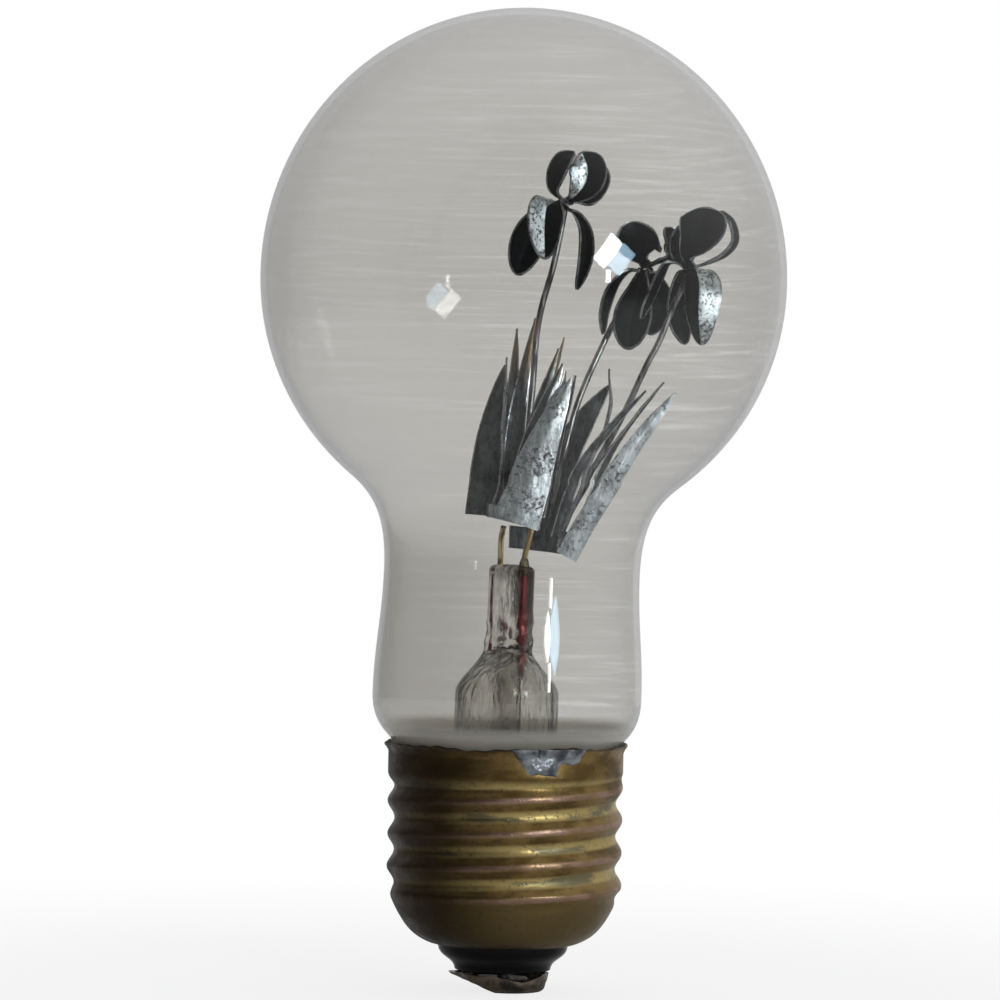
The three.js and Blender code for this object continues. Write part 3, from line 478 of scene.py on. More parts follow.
def stem_glass():
    """Grimy rippled glass, darker at the top of the press."""
    glass = Finish("stem_glass", (0.9, 0.89, 0.86), 0.0)
    glass.set("Transmission Weight", 1.0)
    glass.set("IOR", 1.52)
    grime = glass.mottle((1.1, 1.1, 3), 0.42, 0.7, 0.0, 0.7, detail=5)
    color = glass.mix(grime, (0.9, 0.89, 0.86), (0.5, 0.48, 0.44))
    # darker towards the top of the press
    press_top_darkening = glass.ramp(glass.axis("Z"), 0.0446, 0.0466, 0.0, 0.8)
    glass.set("Base Color", glass.mix(press_top_darkening, color, (0.3, 0.28, 0.26)))
    glass.bump(glass.noise((1.1, 1.1, 6), detail=3, shift=2.0), 0.26)
    shadow_clear(glass)
    return glass.material


def shell_brass():
    """Tarnished brass: a painted highlight of bright gold in the thread's valleys, rubbed to copper on its
    crests, spotted with green, painted shade on the left and darker along the rim."""
    brass = Finish("shell_brass", (0.2, 0.15, 0.07), 0.36, 1.0)
    height = brass.axis("Z")
    turn = brass.math("ARCTAN2", brass.axis("Y"), brass.axis("X"))
    above_crest = brass.math("SUBTRACT", height, CREST_HEIGHT * MM)
    climb = brass.product(above_crest, 2 * math.pi / (THREAD_PITCH * MM))
    wave = brass.math("COSINE", brass.math("SUBTRACT", climb, turn))
    threaded = brass.product(brass.ramp(height, 0.0102, 0.0112), brass.ramp(height, 0.0242, 0.0234))
    crest = brass.product(brass.ramp(wave, 0.72, 0.97), threaded)
    valley = brass.product(brass.ramp(wave, -0.2, -0.85), threaded)
    wear = brass.mottle((3, 3, 0.8), 0.34, 0.62, 0.25, detail=6, roughness=0.65)
    stain = brass.mottle((5, 5, 2.4), 0.4, 0.62, detail=5, shift=3.0)
    green = brass.mottle((7, 7, 1.6), 0.5, 0.64, shift=11.0)
    specks = brass.mottle(0.45, 0.56, 0.7, detail=3, shift=7.0)
    color = brass.mix(stain, (0.25, 0.165, 0.06), (0.125, 0.08, 0.027))
    # painted highlight: bright gold brass in the thread's valleys
    color = brass.mix(brass.product(valley, 0.85), color, (0.56, 0.43, 0.17))
    color = brass.mix(brass.product(green, valley, 0.75), color, (0.13, 0.13, 0.095))
    color = brass.mix(brass.ramp(height, 0.0125, 0.0095), color, (0.15, 0.105, 0.042))
    color = brass.mix(brass.product(specks, 0.55), color, (0.08, 0.075, 0.05))
    color = brass.mix(brass.product(crest, wear), color, (0.36, 0.23, 0.17))
    # painted shade: the brass is darker towards the left side, where little light falls
    left_side_shade = brass.ramp(brass.axis("X"), 0.003, -0.0085, 0.0, 0.93)
    color = brass.mix(left_side_shade, color, (0.02, 0.012, 0.006))
    # darker along the top of the rim
    rim_darkening = brass.ramp(height, 0.027, 0.0275, 0.0, 0.8)
    brass.set("Base Color", brass.mix(rim_darkening, color, (0.045, 0.035, 0.025)))
    brass.set("Roughness", brass.ramp(stain, 0.0, 1.0, 0.36, 0.48))
    brass.bump(brass.math("ADD", brass.noise(0.9, detail=6, shift=1.0), brass.product(specks, 0.3)), 0.05)
    return brass.material


def plain_metal(name, color, dark, roughness, grain, amount=0.6, relief=0.02):
    """Metal with darker stains and a grain of the given size in mm."""
    metal = Finish(name, color, roughness, 1.0)
    metal.set("Base Color", metal.mix(metal.mottle(grain, 0.4, 0.66, 0.0, amount, detail=5), color, dark))
    gloss = metal.mottle(0.6 * grain, 0.3, 0.7, roughness - 0.08, roughness + 0.1, shift=2.0)
    metal.set("Roughness", gloss)
    metal.bump(metal.noise(0.4 * grain, detail=5, shift=4.0), relief)
    return metal.material


def leaf_sheet(name, bright, dull):
    """Sheet with a sputtered skin, pitted in patches, with a golden heat tint at the leaf tips."""
    metal = Finish(name, bright, 0.36, 1.0)
    skin = metal.mottle((1.1, 1.1, 2.2), 0.4, 0.62, detail=7, roughness=0.75)
    specks = metal.mottle(0.4, 0.5, 0.64, detail=3, shift=6.0)
    pits = metal.product(specks, metal.mottle(3.4, 0.46, 0.6, 0.1, detail=3, shift=14.0))
    tips = metal.ramp(metal.axis("Z"), 0.066, 0.0725)
    color = metal.mix(skin, bright, dull)
    color = metal.mix(metal.product(pits, 0.8), color, (0.06, 0.055, 0.06))
    metal.set("Base Color", metal.mix(metal.product(tips, 0.7), color, (0.42, 0.3, 0.14)))
    metal.set("Roughness", metal.ramp(skin, 0.0, 1.0, 0.42, 0.54))
    grain = metal.noise((0.7, 0.7, 1.6), detail=6, shift=2.0)
    metal.bump(metal.math("ADD", grain, metal.product(pits, 0.5)), 0.1)
    return metal.material


def petal_sheet(name, dark, amount):
    """Blackened sheet with bright speckles by the given amount, which are painted highlights where the amount
    is large.
    """
    metal = Finish(name, dark, 0.38, 1.0)
    skin = metal.mottle((1.2, 1.2, 2.6), 0.36, 0.6, 0.35, detail=6, roughness=0.7)
    specks = metal.mottle(0.34, 0.38, 0.52, shift=6.0)
    # bright speckles: painted highlight, strong only in the lit copy
    metal.set("Base Color", metal.mix(metal.product(specks, skin, amount), dark, (0.84, 0.91, 0.94)))
    metal.set("Roughness", metal.ramp(skin, 0.35, 1.0, 0.32, 0.44))
    metal.bump(metal.noise(0.6, detail=5, shift=2.0), 0.06)
    return metal.material


def lead_wire():
    """Nickel with a golden heat tint."""
    metal = Finish("nickel_wire", (0.8, 0.66, 0.4), 0.16, 1.0)
    tint = metal.mottle((0.7, 0.7, 3), 0.42, 0.62)
    metal.set("Base Color", metal.mix(tint, (1.0, 0.86, 0.5), (0.62, 0.42, 0.15)))
    metal.bump(metal.noise((0.2, 0.2, 2), detail=3), 0.012)
    return metal.material


def stem_wire():
    """Drawn steel with dark streaks, duller low down, and reddened by heat above the leaves of
    the upright stem."""
    metal = Finish("stem_wire", (0.4, 0.4, 0.39), 0.32, 1.0)
    height = metal.axis("Z")
    streak = metal.mottle((0.5, 0.5, 4), 0.42, 0.62)
    low = metal.ramp(height, 0.066, 0.077, 1.0, 0.0)
    tint = metal.mottle(3.2, 0.5, 0.66, 0.0, 0.8, shift=8.0)
    zone = metal.ramp(height, 0.07, 0.078), metal.ramp(height, 0.082, 0.077)
    heat = metal.product(tint, *zone, metal.ramp(metal.axis("X"), 0.009, 0.007))
    color = metal.mix(streak, (0.6, 0.6, 0.59), (0.12, 0.12, 0.12))
    color = metal.mix(metal.product(low, 0.3), color, (0.2, 0.2, 0.2))
    metal.set("Base Color", metal.mix(heat, color, (0.42, 0.2, 0.13)))
    metal.bump(metal.noise((0.2, 0.2, 2), detail=3), 0.015)
    return metal.material


def seal_wire():
    """Red borated wire, glazed by the glass around it."""
    metal = Finish("seal_wire", (0.3, 0.05, 0.045), 0.24, 0.7)
    patch = metal.mottle((1, 1, 2.4), 0.42, 0.62)
    metal.set("Base Color", metal.mix(patch, (0.36, 0.06, 0.06), (0.13, 0.022, 0.024)))
    metal.set("Coat Weight", 0.5)
    metal.bump(metal.noise(0.3, detail=3), 0.01)
    return metal.material


def black_glass():
    """Black glass, dusty and scratched round its neck."""
    glass = Finish("black_glass", (0.004, 0.004, 0.004), 0.13)
    glass.set("Specular IOR Level", 0.12)
    scratches = glass.mottle((6, 6, 0.16), 0.6, 0.74)
    dust = glass.mottle(1.2, 0.55, 0.75, 0.0, 0.35, detail=6)
    mark = glass.math("ADD", dust, glass.product(scratches, 0.4), clamp=True)
    glass.set("Base Color", glass.mix(mark, (0.003, 0.003, 0.003), (0.02, 0.017, 0.013)))
    glass.set("Roughness", glass.ramp(mark, 0.0, 0.6, 0.1, 0.42))
    glass.bump(glass.noise((8, 8, 0.35), detail=3), 0.03)
    return glass.material


def solder_skin():
    """Dull cast solder with darker clouds."""
    metal = Finish("solder", (0.2, 0.21, 0.22), 0.42, 0.85)
    skin = metal.mottle(1.9, 0.36, 0.64, roughness=0.5)
    metal.set("Base Color", metal.mix(skin, (0.08, 0.085, 0.095), (0.3, 0.32, 0.33)))
    metal.set("Roughness", metal.ramp(skin, 0.0, 1.0, 0.55, 0.34))
    metal.bump(metal.noise(0.7), 0.05)
    return metal.material


def matt_body(name, color, dark, grain, relief):
    body = Finish(name, color, 0.85)
    body.set("Base Color", body.mix(body.mottle(grain, 0.35, 0.7, detail=5), color, dark))
    body.bump(body.noise(0.5 * grain, detail=6), relief)
    return body.material


clear_glass = globe_glass()
thin_glass = stem_glass()
brass = shell_brass()
contact_brass = plain_metal("contact_brass", (0.25, 0.2, 0.15), (0.04, 0.038, 0.035), 0.3, 1.6, 0.85, 0.08)
insulator_glass = black_glass()
solder = solder_skin()
# Painted light: lit and shaded copies of one leaf sheet, a painted shade finish and a painted lit finish
leaf_painted_shade = leaf_sheet("leaf_painted_shade", (0.17, 0.185, 0.19), (0.045, 0.048, 0.05))
leaf_painted_lit = leaf_sheet("leaf_painted_lit", (0.8, 0.86, 0.89), (0.34, 0.37, 0.39))
leaf_edge = plain_metal("leaf_edge", (0.8, 0.82, 0.82), (0.3, 0.3, 0.3), 0.3, 1.4)
petal_dark = petal_sheet("petal_dark", (0.009, 0.009, 0.01), 0.012)
# Painted light: a lit copy of the blackened petal sheet, lighter and full of painted highlight speckles
petal_painted_lit = petal_sheet("petal_painted_lit", (0.12, 0.13, 0.135), 1.0)
petal_edge = plain_metal("petal_edge", (0.42, 0.44, 0.45), (0.03, 0.03, 0.03), 0.3, 1.6)
nickel = lead_wire()
flower_wire = stem_wire()
red_wire = seal_wire()
copper = plain_metal("copper_wire", (0.07, 0.055, 0.05), (0.03, 0.025, 0.025), 0.36, 1.5)
cement = matt_body("cement", (0.13, 0.1, 0.065), (0.07, 0.05, 0.032), 1.4, 0.12)
resistor = matt_body("resistor_body", (0.3, 0.22, 0.16), (0.2, 0.14, 0.1), 2.2, 0.03)

hidden_nodes = {
    "basing_cement": cement,
    "ballast_resistor": resistor,
    "shell_lead": copper,
    "resistor_lead": copper,
    "contact_solder": solder,
}
for node_name, material in hidden_nodes.items():
    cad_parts[node_name].data.materials.clear()
    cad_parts[node_name].data.materials.append(material)


# Glass envelope


def envelope_outline():
    foot_share = math.sqrt(1 - (GLOBE_FOOT_DROP / GLOBE_KEEL) ** 2)
    foot = np.array((GLOBE_RADIUS * foot_share, EQUATOR_HEIGHT - GLOBE_FOOT_DROP))
    slope = unit(np.array((GLOBE_RADIUS * GLOBE_FOOT_DROP / (GLOBE_KEEL**2 * foot_share), 1)))
    sweep_length = foot[1] - WAIST_HEIGHT
    waist = np.array((WAIST_RADIUS, WAIST_HEIGHT))
    rise = 0.4 * (WAIST_HEIGHT - SKIRT_HEIGHT)
    mouth = np.array((MOUTH_RADIUS, 0))
    skirt = np.array((SKIRT_RADIUS, SKIRT_HEIGHT))
    seal = (SEAL_RADIUS, -SEAL_DEPTH)
    tail = bezier([seal, (SEAL_RADIUS, -0.7 * SEAL_DEPTH), (MOUTH_RADIUS - 1.1, -1.7), mouth], 14)
    collar = bezier([mouth, (MOUTH_RADIUS + 0.35, 0.6), (SKIRT_RADIUS, SKIRT_HEIGHT - 3.4), skirt], 14)
    swell = bezier([skirt, skirt + (0, rise), waist - (0, rise), waist], 14)
    sweep = bezier([waist, waist + (0, 0.59 * sweep_length), foot - 0.31 * sweep_length * slope, foot], 26)
    low_turn = math.asin(GLOBE_FOOT_DROP / GLOBE_KEEL)
    turn = np.linspace(-low_turn, math.pi / 2, 64)[1:]
    height = np.where(turn < 0, GLOBE_KEEL, GLOBE_CROWN)
    globe = np.stack([GLOBE_RADIUS * np.cos(turn), EQUATOR_HEIGHT + height * np.sin(turn)], axis=1)
    globe[-1, 0] = 0
    return np.concatenate([tail[:-1], collar[:-1], swell[:-1], sweep, globe])


outside = envelope_outline()
inside = inset_line(outside, GLASS_WALL)
inside[-1] = (0, outside[-1][1] - GLASS_WALL)
envelope = turned(np.concatenate([inside[::-1], outside]), GLOBE_SIDES)
add_tilted("globe", [envelope], [clear_glass], ["glass_envelope"])


# Stem: flare tube, press and exhaust tube

PRESS_LINE = np.array((math.cos(PRESS_TURN), math.sin(PRESS_TURN), 0))
PRESS_FACE = np.array((math.sin(PRESS_TURN), -math.cos(PRESS_TURN), 0))
STEM_SIDES = 72
FLARE_RADIUS = SEAL_RADIUS - GLASS_WALL - GAP


def stem_ring(height, inset, shrink=0.0):
    melt = float(smooth(height, FLARE_TUBE_TOP, PRESS_FOOT))
    flare = max(-height / SEAL_DEPTH, 0) ** 2
    tube = lerp(FLARE_TUBE_RADIUS, FLARE_RADIUS, flare)
    long = (lerp(tube, PRESS_LENGTH / 2, melt) - inset) * (1 - shrink)
    short = (lerp(tube, PRESS_THICKNESS / 2, melt) - inset) * (1 - shrink)
    squareness = lerp(1, 0.7, melt)
    turn = 2 * np.pi * np.arange(STEM_SIDES) / STEM_SIDES
    lengthwise = np.sign(np.cos(turn)) * np.abs(np.cos(turn)) ** squareness
    sidewise = np.sign(np.sin(turn)) * np.abs(np.sin(turn)) ** squareness
    ring = np.outer(long * lengthwise, PRESS_LINE) + np.outer(short * sidewise, PRESS_FACE)
    ring[:, 2] = height
    return ring


def rounded_end(height, inset, reach):
    """Rings that close a stem surface with a rounded end."""
    turns = np.linspace(0, math.pi / 2, 8)[1:]
    return [stem_ring(height + reach * math.sin(turn), inset, 1 - math.cos(turn) ** 0.5) for turn in turns]


def crumple(points, seed):
    """Wrinkles where the tube was squeezed into the press."""
    zone = smooth(points[:, 2], 7.6, 10.4) * (1 - smooth(points[:, 2], 12.2, 15))
    outward = points * (1, 1, 0)
    outward /= np.maximum(np.linalg.norm(outward, axis=1, keepdims=True), 1e-6)
    folds = 0.5 * wander(points, 1.5, seed) + 0.28 * wander(points, 0.8, seed + 1)
    return points + outward * (zone * folds)[:, None]


def stem_surface():
    low = [np.linspace(-SEAL_DEPTH, 0, 14), np.linspace(0, FLARE_TUBE_TOP, 10)[1:]]
    outer_heights = np.concatenate([*low, np.linspace(FLARE_TUBE_TOP, PRESS_FOOT, 28)[1:],
                                    np.linspace(PRESS_FOOT, PRESS_TOP - 0.7, 36)[1:]])
    inner_heights = np.concatenate([*low, np.linspace(FLARE_TUBE_TOP, PRESS_FOOT - 1.2, 24)[1:]])
    outer = [stem_ring(height, 0) for height in outer_heights] + rounded_end(PRESS_TOP - 0.7, 0, 0.7)
    inner = [stem_ring(height, FLARE_WALL) for height in inner_heights]
    inner += rounded_end(PRESS_FOOT - 1.2, FLARE_WALL, 0.6)
    outer = crumple(np.concatenate(outer), 0.0)
    inner = crumple(np.concatenate(inner), 4.0)
    inner = inner.reshape(-1, STEM_SIDES, 3)[::-1].reshape(-1, 3)
    points = np.concatenate([inner, outer])
    return closed_surface(points, grid_faces(len(points) // STEM_SIDES, STEM_SIDES))


def exhaust_tube():
    """A closed glass tube with a bore that is sealed at both ends."""
    top = PRESS_FOOT - 0.9
    tip = EXHAUST_TIP_DEPTH
    turns = np.linspace(0, QUARTER_TURN, 8)
    ball = [(EXHAUST_RADIUS * math.sin(turn), 2 - tip - 2 * math.cos(turn)) for turn in turns]
    wall = [(EXHAUST_RADIUS, height) for height in np.linspace(2.2 - tip, top - 0.5, 30)]
    bore = [(EXHAUST_BORE, height) for height in np.linspace(2.6 - tip, top - 1.2, 30)]
    turns = np.linspace(0, QUARTER_TURN, 7)
    bore_end = [(EXHAUST_BORE * math.cos(turn), top - 1.2 + 0.8 * math.sin(turn)) for turn in turns]
    bore_end[-1] = (0, bore_end[-1][1])
    solid = turned([*ball, *wall, (1.3, top), (0, top)], EXHAUST_SIDES)
    bore = [(0, 1.6 - tip), (0.6 * EXHAUST_BORE, 1.8 - tip), *bore, *bore_end[1:]]
    hollow = turned(bore, EXHAUST_SIDES, cavity=True)
    surfaces = []
    for points, faces, slots in (solid, hollow):
        sway = 0.25 * smooth(points[:, 2], 8, 1)
        points = points + np.stack([sway, 0 * sway, 0 * sway], axis=1)
        surfaces.append((points, faces, slots))
    return surfaces


def blow_hole():
    """The bubble where the exhaust tube was blown through into the globe."""
    turn = np.linspace(0, math.pi, 12)
    profile = np.stack([0.5 * np.sin(turn), -0.7 * np.cos(turn)], axis=1)
    profile[[0, -1], 0] = 0
    points, faces, slots = turned(profile, 20, cavity=True)
    sideways = Vector((0, 0, 1)).rotation_difference(Vector(PRESS_FACE)).to_matrix()
    points = points @ np.array(sideways).T + PRESS_FACE * 0.55 + (0, 0, PRESS_FOOT + 0.5)
    return points, faces, slots


def lead_place(side, height):
    place = PRESS_LINE * side * LEAD_SPACING / 2
    return (place[0], place[1], height)


def glass_bead(side):
    """The little cone of glass that climbs the lead where it leaves the press."""
    skin = [(0.5, -1.2), (0.6, -0.8), (0.62, -0.3), (0.55, 0.15), (0.45, 0.5), (0.4, 0.7)]
    points, faces, slots = turned([(0, -1.2), *skin, (0, 0.7)], 24)
    return points + np.array(lead_place(side, PRESS_TOP)), faces, slots


stem_surfaces = [stem_surface(), *exhaust_tube(), blow_hole(), glass_bead(1)]
add_tilted("stem", stem_surfaces, [thin_glass], ["glass_stem"])


# Leads and seal wires

WELD_DISTANCE = GAP + (LEAD_DIAMETER + SHEET_THICKNESS) / 2
LEFT_PANEL_DEPTH = -3.4
RIGHT_BAND_END = (-0.4, 0.7)
PRESS_SEAT = PRESS_TOP - 0.9
SEAL_WIRE_FOOT = 7.6

front_bends = [(1.75, -2.55, 22.8), (2.2, LEFT_PANEL_DEPTH + WELD_DISTANCE, 24.8),
               (2.5, LEFT_PANEL_DEPTH + WELD_DISTANCE, 26.6)]
back_bends = [(-1.35, 1.9, 22.4), (RIGHT_BAND_END[0] - WELD_DISTANCE, RIGHT_BAND_END[1], 24.1)]

for side, upper, place_name in ((1, front_bends, "front"), (-1, back_bends, "back")):
    bends = [lead_place(side, PRESS_SEAT), lead_place(side, PRESS_TOP + 0.8), *upper]
    lead = wire(bends, LEAD_DIAMETER, 40)
    add_tilted(f"lead_{place_name}", [lead], [nickel], [f"inner_lead_{place_name}"], 50)
    ends = [lead_place(side, PRESS_SEAT - GAP), lead_place(side, SEAL_WIRE_FOOT)]
    seal = wire(ends, SEAL_WIRE_DIAMETER, 30)
    add_tilted(f"seal_wire_red_{place_name}", [seal], [red_wire], [f"seal_wire_{place_name}"], 50)


# Leaf electrodes

FACING_FRONT = (1, 0, 0)
FACING_SIDE = (0, 1, 0)
STRIP_POINTS = 60


def foot_strip(plan, foot, height, drop, lit_cells, seed):
    """The folded strip that the leaves grow from. Its foot drops towards +X, and its first
    cells have slot 2, the painted lit finish."""
    line = curve_points([(x, y, 0) for x, y in plan], np.linspace(0, 1, STRIP_POINTS))
    rises = np.linspace(0, height, 7)
    grid = np.stack([line + np.outer(foot + rise - drop * line[:, 0], (0, 0, 1)) for rise in rises])
    along = np.gradient(line, axis=0)
    outward = unit(np.stack([along[:, 1], -along[:, 0], 0 * along[:, 0]], axis=1))
    field = wander(grid.reshape(-1, 3), 1.7, seed).reshape(grid.shape[:2])
    tones = np.where(np.arange(STRIP_POINTS - 1) < lit_cells, 2, 0)
    return sheet(grid + outward * (0.07 * field)[..., None], SHEET_THICKNESS, tones)


def add_leaves(name, node, strip, leaves):
    """Leaves on their foot strip. Each has a spine, across, width, fullness, crease and lit."""
    seed = len(name) + 0.37 * len(leaves)
    surfaces = [foot_strip(*strip, seed)]
    for number, (spine, across, width, fullness, crease, lit) in enumerate(leaves):
        surfaces.append(blade(spine, across, width, sword_outline(fullness), crease, SHEET_THICKNESS,
                              rows=40, cols=11, buckle=0.16, seed=seed + number, lit=lit))
    add_tilted(name, surfaces, [leaf_painted_shade, leaf_edge, leaf_painted_lit], [node], 40)


LEFT_FOOT = 24.6
RIGHT_FOOT = 21.7

add_leaves("leaves_left_outer", "left_leaves_outer", (
    [(2.9, LEFT_PANEL_DEPTH), (0, LEFT_PANEL_DEPTH - 0.1), (-2.4, LEFT_PANEL_DEPTH + 0.1), (-2.9, -1.8),
     (-2.95, 1), (-2.8, 3.1), (-0.8, 3.6)], LEFT_FOOT, 1.6, 0.23, 24), [
    ([(0.1, -3.4, 24.6), (2.7, -3.1, 33), (5.65, -2, 40.7)], FACING_FRONT, 5.3, 1.25, 0.2, 2),
    ([(-2.85, 0.3, 25.3), (-1.75, 0, 30), (-1.75, 0, 36), (-1.5, 0, 42.8)], FACING_SIDE, 3.6, 1.3, 0.1, 2),
    ([(-3.2, 3.5, 25.4), (-2.8, 3.3, 34), (-1.7, 2.9, 42)], FACING_FRONT, 4.6, 1.5, 0.2, 0),
])
add_leaves("leaves_left_middle", "left_leaves_middle", (
    [(-1.5, -1.5), (-0.9, -2), (1.6, -2.1), (2.7, -1.5), (3, -0.2), (3.1, 1.2)],
    LEFT_FOOT + 0.7, 1.8, 0.2, 0), [
    ([(0.4, -2.05, 25.6), (1.9, -1.9, 34), (4.7, -1, 42.3)], FACING_FRONT, 3.6, 1.2, 0.3, 1),
    ([(2.3, -1.6, 25.6), (3.8, -1, 34), (5, -0.2, 41.5)], (1, 0.6, 0), 2.4, 1.6, 0.2, 0),
    ([(3, 0.3, 25.6), (4.4, 0.7, 34), (6.2, 1, 41.1)], (1, 0.8, 0), 2.2, 1.6, 0.2, 0),
])
add_leaves("leaves_left_inner", "left_leaves_inner", (
    [(2, 0.6), (0.2, 0.7), (-0.8, 0.9), (-1, 1.6), (-0.7, 2.2), (0.4, 2.3), (1.9, 2.3)],
    LEFT_FOOT + 0.7, 1.8, 0.1, 0), [
    ([(0, 0.75, 25.6), (-0.2, 0.8, 35), (1.5, 1, 47.3)], FACING_FRONT, 2.6, 1.7, 0.2, 0),
    ([(1, 0.65, 25.6), (1.8, 0.5, 35), (4.2, 0.3, 44)], FACING_FRONT, 2.2, 1.5, 0.4, 1),
    ([(0, 2.3, 25.6), (-0.7, 2.2, 35), (-0.5, 2, 46.1)], FACING_FRONT, 2.2, 1.7, 0.2, 0),
    ([(1.3, 2.3, 25.6), (2.4, 1.9, 35), (4.8, 1.2, 45.3)], FACING_FRONT, 2, 1.5, 0.2, 0),
])
add_leaves("leaves_right_outer", "right_leaves_outer", (
    [RIGHT_BAND_END, (0.9, 1.9), (3.2, 2.9), (5.4, 2.6), (6.7, 1), (6.5, -1), (4.9, -1.5)],
    RIGHT_FOOT, 2.6, 0.08, 0), [
    ([(3.5, 2.95, 22.5), (4.7, 3.6, 30.5), (7.2, 3.8, 35.8), (10.2, 3.6, 40.4)],
     FACING_FRONT, 4.4, 1.6, 0.2, 0),
    ([(6.6, 0.9, 22), (8.9, 1.2, 29), (11.4, 1.4, 34.4), (16.05, 1, 40.8)], (0.4, 1, 0), 2.6, 1.6, 0.2, 0),
    ([(5.9, -1.3, 21), (9.5, -1.5, 28), (13.6, -1.2, 34.5), (17.3, -0.4, 39.6)],
     (1, 0.2, 0), 2.5, 2.2, 0.2, 2),
])
add_leaves("leaves_right_inner", "right_leaves_inner", (
    [(5.6, 0.5), (5.3, -0.4), (4.4, -0.6), (3.9, 0.3)], RIGHT_FOOT + 0.8, 1.8, 0.08, 0), [
    ([(5.2, -0.1, 23), (8.2, -0.2, 31.6), (10.1, -0.2, 37.2), (9.9, -0.2, 42)], (0.25, 1, 0), 1.6, 2, 0.2, 2),
    ([(4.7, -0.6, 23), (6.6, -0.7, 30), (10.7, -0.6, 36), (14, -0.6, 39.7)], (1, 0.2, 0), 1.3, 2, 0.3, 0),
])


# Iris flowers: a stamping of falls and one of standards on each wire

HUB_RADIUS = 0.8
HUB_STEP = 0.7


def petal_stamping(lean, petals, lit, seed):
    """A hub disc with its petals. Every spine is counted from the middle of the hub."""
    hub = [(0, -0.5), (HUB_RADIUS, -0.5), (HUB_RADIUS, 0.5), (0, 0.5)]
    points, faces, slots = turned(hub, 24)
    tilt = np.array(Vector((0, 0, 1)).rotation_difference(lean).to_matrix())
    surfaces = [(points * (1, 1, PETAL_THICKNESS) @ tilt.T, faces, slots)]
    for number, (spine, across, width, crease, *lag) in enumerate(petals):
        outline = petal_outline(lag[0] if lag else 1.35)
        surfaces.append(blade([(0, 0, 0), *spine], across, width, outline, crease, PETAL_THICKNESS,
                              rows=32, cols=15, buckle=0.12, seed=seed + number, lit=lit.get(number, 0)))
    return surfaces


# The half of a fall or standard that has the painted lit finish
PAINTED_LIT_HALVES = {("top", "falls"): {0: -1}, ("top", "standards"): {1: -1}, ("right", "falls"): {2: 1}}


def add_flower(name, hub, stem, falls, standards):
    """A flower on its stem. Each petal has a spine, across, width, crease and maybe a lag."""
    lean = (Vector(hub) - Vector(stem[-1])).normalized()
    stem_end = Vector(hub) - lean * PETAL_THICKNESS / 2
    stalk = wire([*stem, tuple(stem_end)], FLOWER_WIRE_DIAMETER, 70, unevenness=0.05)
    add_tilted(f"stem_{name}", [stalk], [flower_wire], [f"{name}_flower_stem"], 50)
    for kind, petals, step in (("falls", falls, 0), ("standards", standards, HUB_STEP)):
        middle = np.array(Vector(hub) + lean * step)
        surfaces = petal_stamping(lean, petals, PAINTED_LIT_HALVES.get((name, kind), {}), len(name) + 3 * step)
        placed = [(points + middle, faces, slots) for points, faces, slots in surfaces]
        finishes = [petal_dark, petal_edge, petal_painted_lit]
        add_tilted(f"{kind}_{name}", placed, finishes, [f"{name}_flower_{kind}"], 40)


add_flower(
    "top", (4.25, -2, 59.4),
    [(0.8, -1, 26.3), (1, -1, 30.4), (1.4, -1, 38.2), (1.95, -1.5, 47.6), (3.35, -2, 53.6)],
    [
        ([(-1, -1.1, 0.9), (-1.9, -2.4, 0.5), (-2.15, -3.2, -2), (-2, -3.4, -5.8)],
         (1, 0.1, 0), 4, 0.42, 1.6),
        ([(-1.2, 1, 0.4), (-2.6, 1.4, -1.6), (-4, 1.5, -4), (-5, 1.4, -7.4)], (1, 0, -0.4), 4.2, 0.4, 1.6),
        ([(1.2, 1, -0.4), (2.3, 1.4, -1.9), (2.6, 1.5, -4.2), (2.35, 1.5, -6.4), (1.7, 1.5, -8.8)],
         (1, 0.2, 0), 1.7, 0.5),
    ],
    [
        ([(-1.5, -1.2, 1.2), (-1.3, -1.6, 3), (-0.4, -1.2, 4.9), (0.6, -0.7, 5.6)],
         (0.9, -0.4, -0.2), 2.4, -0.4),
        ([(1.1, -1.1, 0.8), (2.1, -1.5, 2.4), (2.2, -1.3, 4.3), (1.5, -0.8, 5.6)], (1, 0, -0.35), 4.1, -0.36),
        ([(1, 1.6, 0.4), (2.6, 2.4, 1.3), (3.6, 2.2, 3), (3, 1.6, 4.8)], (1, 0.2, 0), 2.8, -0.3),
    ],
)
add_flower(
    "middle", (13.5, 6, 53.2),
    [(3.3, 1.8, 22.6), (4.1, 2.1, 27.2), (5.4, 2.6, 32.8), (6.5, 3.1, 37.7), (8.6, 4.4, 43.4),
     (11, 5.6, 48.6)],
    [
        ([(-1.7, -0.3, 0), (-3.3, -0.4, -1.6), (-4.2, -0.5, -4.4), (-4.3, -0.5, -7.2)],
         (0.45, 0.9, 0), 2.6, 0.4),
        ([(-0.2, -1.5, 0.05), (-0.6, -2.4, -2.4), (-1.2, -2.8, -5.4), (-1.6, -2.8, -8.8)],
         (1, 0, -0.1), 4.2, 0.6, 2.2),
        ([(0.9, 0.9, -0.5), (1.7, 1, -2.2), (1.9, 0.8, -4.2), (1, 0.5, -7)], (1, 0.3, 0.1), 3.4, 0.4),
    ],
    [
        ([(-0.9, -0.9, 1.2), (-1, -1.7, 2.6), (0.2, -1.7, 4.3)], (1, 0, 0.15), 5.4, -0.3, 1.7),
        ([(1.5, -0.4, 0.7), (2.9, -0.8, 1.2), (3.1, -1.1, 2.9), (1.9, -1.1, 4.4)],
         (0.9, 0.4, 0), 2.9, -0.4, 1.7),
        ([(-0.8, 1.2, 1.3), (-1.2, 1.9, 2.5), (0, 1.4, 4.3)], (1, -0.2, 0), 3.2, -0.3),
    ],
)
